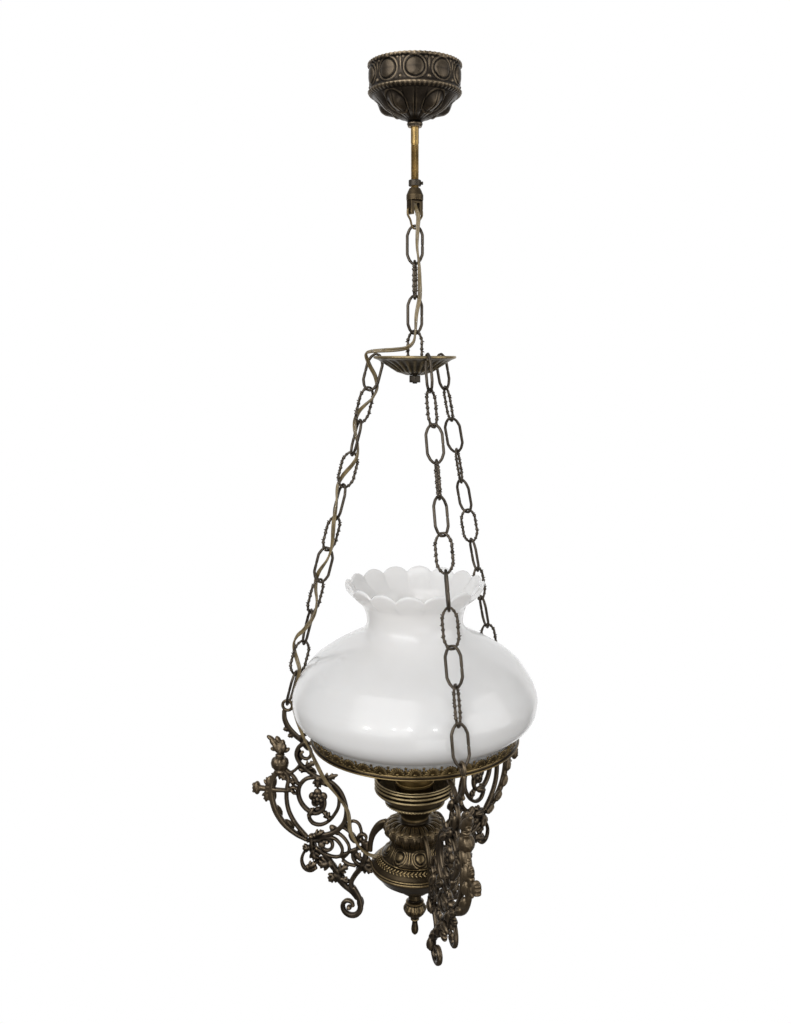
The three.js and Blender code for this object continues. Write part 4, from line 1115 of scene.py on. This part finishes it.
def flower(centre, radius, petals, thick):
    """A full rosette: a bead, an inner and an outer ring of broad petals, in millimetres."""
    middle = Vector((centre[0], 0, centre[1]))
    parts = [lobe(middle, radius * 0.6, radius * 0.6, thick * 1.3, 0, 2)]
    rings = ((0.58, 0.82, 0.86, 0.72), (0.34, 0.6, 0.62, 1.05))
    for ring, (reach, long, broad, deep) in enumerate(rings):
        for k in range(petals):
            a = 360 * (k + 0.5 * ring) / petals + 14
            out = heading(a) * radius * reach
            parts.append(lobe(middle + out, radius * long, radius * broad, thick * deep, a + 25, 2))
    return parts


def volute(centre, radius, start, turns, width, thick):
    """A strap that winds in to a bead. A minus sign on turns winds it clockwise."""
    course = []
    for k in range(25):
        share = k / 24
        a = math.radians(start + 360 * turns * share)
        reach = radius * (1 - 0.62 * share)
        course.append((centre[0] + reach * math.cos(a), centre[1] + reach * math.sin(a)))
    end = (course[-1][0], 0, course[-1][1])
    strap = stroke(course, (width, width * 0.9, width * 0.75), thick)
    return [strap, lobe(end, width * 1.25, width * 1.25, thick * 1.3, 0, 2)]


# Each bar: how deep the casting is, its width at even shares, and then its course.
bars = [
    (3.4, (4.8, 6, 6.4, 6, 5.2), (142, 16), (141.5, 6), (137, -3), (129, -11), (121, -17), (117, -23)),
    (4.6, (4.2, 3.8, 4.2, 5), (103, -4.7), (108, -4.9), (112, -5.3), (120.5, -9.5), (126, -14)),
    (4.8, (5.2, 4.6, 4.2, 4.8, 5.4, 5.6), (118, -17), (126, -23), (129, -31), (126, -39), (119, -46),
     (107, -54), (97, -60)),
    (4.4, (4.2, 3.8, 3.6, 3.2), (120, -19), (113.6, -24), (112.6, -30), (116, -34.6), (121.4, -34.4),
     (123.8, -30.4), (121.2, -27.4)),
    (4.8, (4.8, 4.4, 4.6, 5.4, 5.4, 5), (107, -54), (97, -55.5), (88, -60), (80.5, -67.5), (76, -77),
     (74, -88), (76.5, -101), (85, -111), (98, -117), (113, -120)),
    (5.6, (3, 4.2, 5, 5, 4.8, 4.2), (98.8, -75), (97.4, -82), (100, -89.5), (108, -94), (117, -91),
     (124, -83.5), (127, -74), (125, -64.5), (118, -57), (108, -54)),
    (5, (3.6, 3.8, 4, 3.8, 4, 4.2), (89, -60.5), (82.6, -71), (82.6, -84), (87, -93), (93.5, -101),
     (103, -106), (111.5, -104.6), (115.4, -98), (112.6, -93.6)),
    (5, (4.2, 3.8, 3.8), (141, -49), (135.5, -53), (130.5, -58), (127.5, -64)),
    (5.6, (4, 4.6, 4.8, 4.6, 4.2), (141, -52), (138, -58), (139.6, -68), (140.4, -80), (138, -94),
     (131, -107), (118, -121)),
    (6.4, (6.4, 5.6, 6.2, 6.6, 6.2, 5, 4.2), (149, -50), (154.5, -58), (157.5, -68), (157, -81),
     (152.6, -96), (143, -109.5), (130, -119), (118, -124)),
    (4.6, (3, 3.6, 4.2), (125, -42), (131, -49), (139, -53), (147, -50)),
    (6, (3.8, 4.2, 5, 5.6, 6.6), (133, -71), (144, -72), (155, -72.4), (166, -72), (174, -72)),
    (4.6, (4.2, 3.8, 3.6, 3.6), (108, -124), (98, -119.8), (88, -119.4), (82, -124), (78.6, -131),
     (81, -138), (86, -140)),
    (4.4, (3.6, 3.4, 3.6), (85, -112), (77, -117.5), (71.4, -126), (72.4, -134), (79, -141)),
    (4.2, (3.6, 3.4, 3.6, 4), (77, -106), (69, -112), (62, -121.5), (62.8, -129), (67.4, -134.6),
     (66, -141), (60, -146)),
    (4.4, (4.4, 3.8, 3.6, 4.2), (104, -134), (94, -139), (84, -139.4), (75, -135), (66, -129.8),
     (56, -126)),
    (4, (3.4, 3.4, 3.6), (73, -104), (67.5, -98.4), (61.4, -99.8), (58.2, -106.3), (57.3, -116.8),
     (55, -123)),
    (4, (3.2, 3, 3.2), (66, -113), (73, -109), (80, -105)),
    (5.6, (6.4, 6, 6, 5.4, 5.2), (53.3, -124), (53, -134), (55, -141), (58.5, -149), (64.6, -157),
     (69, -166), (68.4, -171), (64, -177)),
    (5.8, (5, 5.8, 6.4, 6.4, 6, 5.4, 4.6, 3.8), (66.6, -171), (61.6, -180), (59.2, -188), (59.8, -196),
     (64.6, -201.4), (71.6, -202), (77.2, -198), (78.4, -191.4), (74, -186.6), (68.6, -187.8),
     (67, -192.4)),
    (5.6, (4.4, 4.6, 6.4, 7.6, 5.6, 4.8), (108, -132), (99, -138), (92, -145), (86.6, -154), (82.6, -163),
     (76, -170.4), (68, -176.4), (62.4, -183)),
    (4.6, (3.6, 3.2, 3.8, 5.2, 4.2), (114, -130), (121, -138), (124, -147.4), (121, -155.4),
     (114, -157.6), (107.4, -153.6)),
    (4.4, (3.8, 3.4, 3.8), (64, -147), (72, -146), (79, -142)),
]
cast = [stroke(course, widths, depth) for depth, widths, *course in bars]
for row in (
    ((101, -57), (83, -49.5), 10.5, 4.2), ((120, -46), (108, -37), 9.5, 4.2),
    ((105, -54), (105.5, -66), 11, 7), ((118, -48), (127, -46.6), 7.5, 6),
    ((136, -3), (143.5, -5.5), 6.5, 4.2), ((131, -9), (138.5, -12.5), 6.5, 4.2),
    ((114, -18), (105, -15), 7.5, 3.8), ((92, -99), (99.5, -90), 8.5, 7),
    ((116, -98), (110, -88), 8.5, 7.5), ((129, -60), (136, -63), 7.5, 6),
    ((161.5, -73), (163.5, -86.5), 10.5, 7.5), ((161.5, -71), (159.5, -58), 10.5, 7.5),
    ((150, -52), (140.5, -60.5), 9.5, 7), ((151, -54), (160, -61), 6.5, 5),
    ((110, -119), (99, -112.5), 9, 7.5), ((112, -134), (107.5, -145.5), 12, 8),
    ((114, -132), (123, -134.5), 9, 7), ((58, -144), (45.5, -152.5), 12.5, 7),
    ((58, -140), (65.5, -132.5), 9, 5), ((54, -141), (47.5, -138.5), 7.5, 5),
    ((84.5, -158), (94, -167.5), 11.5, 8), ((90, -147), (106, -150), 14, 8.5),
    ((85, -156), (71.5, -147), 11, 7), ((80, -163), (71.5, -165.5), 8, 6),
    ((118, -155), (107, -148.5), 9.5, 6), ((76.5, -101), (68, -108), 7, 4.2),
):
    cast += leaf(*row)
cast += flower((105, -77), 11, 5, 8.5) + leaf((113, -117), (111, -137), 11, 9, 3)
cast += volute((96.5, -127.5), 9, 20, 1.25, 4.4, 5.2) + volute((56, -116), 6, -60, 1.1, 3.6, 5)
cast += volute((131.5, -71.5), 5, 0, 1, 3.6, 6)
cast += [lobe((101.5, 0, -127.5), 9, 8, 7.5, 0, 2), lobe((71.5, 0, -194), 6, 6, 7.5, 0, 2)]
cast += [lobe((173.5, 0, -72), 7.4, 15.5, 10, 0, 2), lobe((176.4, 0, -72), 4.2, 11.5, 8, 0, 2)]
cast += [lobe((176.6, 0, -72 + 3.6 * k), 5.4, 3.2, 7.5, 10 * k, 2) for k in (-1, 0, 1)]

for x, z, turn in (
    (151, -53, -60), (156.5, -66, -80), (157, -80, -95), (151, -97, -120), (139, -111, -140),
    (124, -121, -150), (112, -131, -110), (104, -147, 160), (90, -152, -130), (81, -163, -120),
    (68, -175, -130), (60, -189, -90), (127, -33, -100), (114, -49, -150), (99, -60, -140),
    (119, -21, -120), (106, -92, -20), (88, -112, -140), (104, -119, 170), (68, -118, -120),
    (60, -150, -60),
):
    cast.append(lobe((x, -3.4, z), 15, 8.5, 6.6, turn, 2))
    cast.append(lobe((x, -5.6, z), 11, 2.6, 4.6, turn, 2))

# The flame: a ribbed ball on the arm's top, a neck bead, and a head of leaves that curls out.
flame_out, flame_level = 147.5, -42.4
cast.append(lobe((flame_out, 0, flame_level), 19.5, 15.5, 15, 0, 3))
for k in range(8):
    a = math.radians(45 * k + 12)
    rib = (flame_out + 6.6 * math.cos(a), 5 * math.sin(a), flame_level)
    cast.append(lobe(rib, 6.4, 13.4, 5.6, 4, 2))
for row in (
    ((flame_out, 0, flame_level), 20.6, 2.6, 16, 0), ((147, 0, -51.4), 12.5, 5.4, 10.6, 0),
    ((147.2, 0, -33.4), 11, 4.2, 9.6, 0),
    ((146.6, 0, -25.6), 15, 12, 10.5, 78), ((150.5, 2.6, -24.6), 14, 7, 6.6, 62),
    ((150.5, -2.6, -24.6), 14, 7, 6.6, 62), ((153.5, 0, -20.5), 13, 8, 8, 42),
    ((157.5, 0, -15.8), 10.5, 5, 5.6, 28), ((142.4, 1.4, -25.5), 11, 5.6, 7, 108),
    ((139.4, 0, -27.6), 8.5, 4.6, 6, 140), ((149, 0, -16.8), 9.5, 5.4, 6.6, 52),
    ((143.6, 0, -19.8), 7.5, 5, 6, 80), ((154, 0, -27.5), 8.5, 4.6, 6.4, 8),
    ((146.6, 4.2, -27.5), 8.5, 4.6, 3.4, 84), ((146.6, -4.2, -27.5), 8.5, 4.6, 3.4, 84),
):
    cast.append(lobe(*row, 2))
clear_selection()
bpy.ops.mesh.primitive_cube_add(size=1, location=(0, 0, 0))
foot_block = bpy.context.object
foot_block.data.transform(
    Matrix.Translation((0.0539, 0, -0.125)) @ Matrix.Diagonal((0.0072, 0.0052, 0.0112, 1))
)
hook_eye = wire_ring(0.0053, 0.0017, 36, 12, (0.13836, 0, 0.02145))
pattern = joined("bracket_pattern", [*cast, foot_block, hook_eye])
pattern = casting("bracket_pattern", pattern, 0.55, 3, 0.34)
bracket_bronze = metal(
    "bracket_bronze", (0.007, 0.0055, 0.0045), (0.045, 0.035, 0.026), (0.28, 0.215, 0.14), (0.28, 0.48),
    relief=0.35
)
# The colour turns lighter towards the outer arm, mixed in by distance from the lamp's axis.
tree = bracket_bronze.node_tree
flat = node(tree, "ShaderNodeVectorMath")
flat.operation = "MULTIPLY"
flat.inputs[1].default_value = (1, 1, 0)
reach = node(tree, "ShaderNodeVectorMath")
reach.operation = "LENGTH"
outward = node(tree, "ShaderNodeMapRange", From_Min=0.126, From_Max=0.158, To_Max=0.8)
lighter_outward = node(tree, "ShaderNodeMix")
lighter_outward.data_type = "RGBA"
lighter_outward.inputs["B"].default_value = (0.175, 0.132, 0.082, 1)
wire(
    tree, (tree.nodes["Texture Coordinate"], "Object", flat, 0), (flat, "Vector", reach, 0),
    (reach, "Value", outward, "Value"), (outward, "Result", lighter_outward, "Factor"),
    (tree.nodes["Vector Math"], "Vector", lighter_outward, "A"),
    (lighter_outward, "Result", tree.nodes["Principled BSDF"], "Base Color"),
)
for side, bearing in bearings.items():
    mesh = pattern.data.copy()
    mesh.transform(on_seat(bearing))
    piece = placed(f"cast_{side}_bracket", mesh)
    fixed(piece, "lamp", "dark_bronze", bracket_bronze, f"{side}_bracket")
bpy.data.objects.remove(pattern)


# The finial: a turned brass drop screwed into the font's foot, its ball chased with leaves.
def drop_relief(angle, radius, level, normal):
    level -= seat_level
    if not -194 < level < -178:
        return 0
    leaf = nearest(angle, 8)
    return 0.9 * hill(level + 186, 9) * abs(math.cos(4 * leaf)) ** 0.6 - 0.5 * hill(leaf * radius, 0.6)


drop_profile = [
    (0, -215), (0.9, -214.9), (2.2, -213.8), (3.4, -212), (3.9, -209.2), (3.7, -206.4), (3.2, -203.8),
    (2.8, -200.6), (3, -199.3), (4.4, -198.4), (4.6, -197.4), (3.8, -196.4), (4.6, -195.4), (8.2, -192.4),
    (10.4, -189.3), (11.3, -186.3), (11.2, -184.8), (9.8, -181.5), (8.6, -179.9), (9.4, -179.2),
    (9.5, -178.2), (8.2, -177.4), (6.8, -176.6), (6.4, -176), (6.8, -174.4), (6.4, -169.4), (0, -169.4),
]
drop = turned("chased_drop", dense(drop_profile, 0.7), 96, 60, seat_level)
relief(drop, drop_relief)
drop.data.shade_smooth()
fixed(drop, "lamp", "old_brass", chased_brass, "finial")


# The ceiling bracket: a pressed steel bar and stirrup, screwed up under the rose. It is
# zinc plated and gone dull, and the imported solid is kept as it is.
zinc = metal(
    "dull_zinc", (0.1, 0.1, 0.1), (0.34, 0.34, 0.33), (0.5, 0.5, 0.49), (0.35, 0.5), relief=0.15
)
bar_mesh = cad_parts["ceiling_bracket"].data
bar_mesh.materials.clear()
bar_mesh.materials.append(zinc)
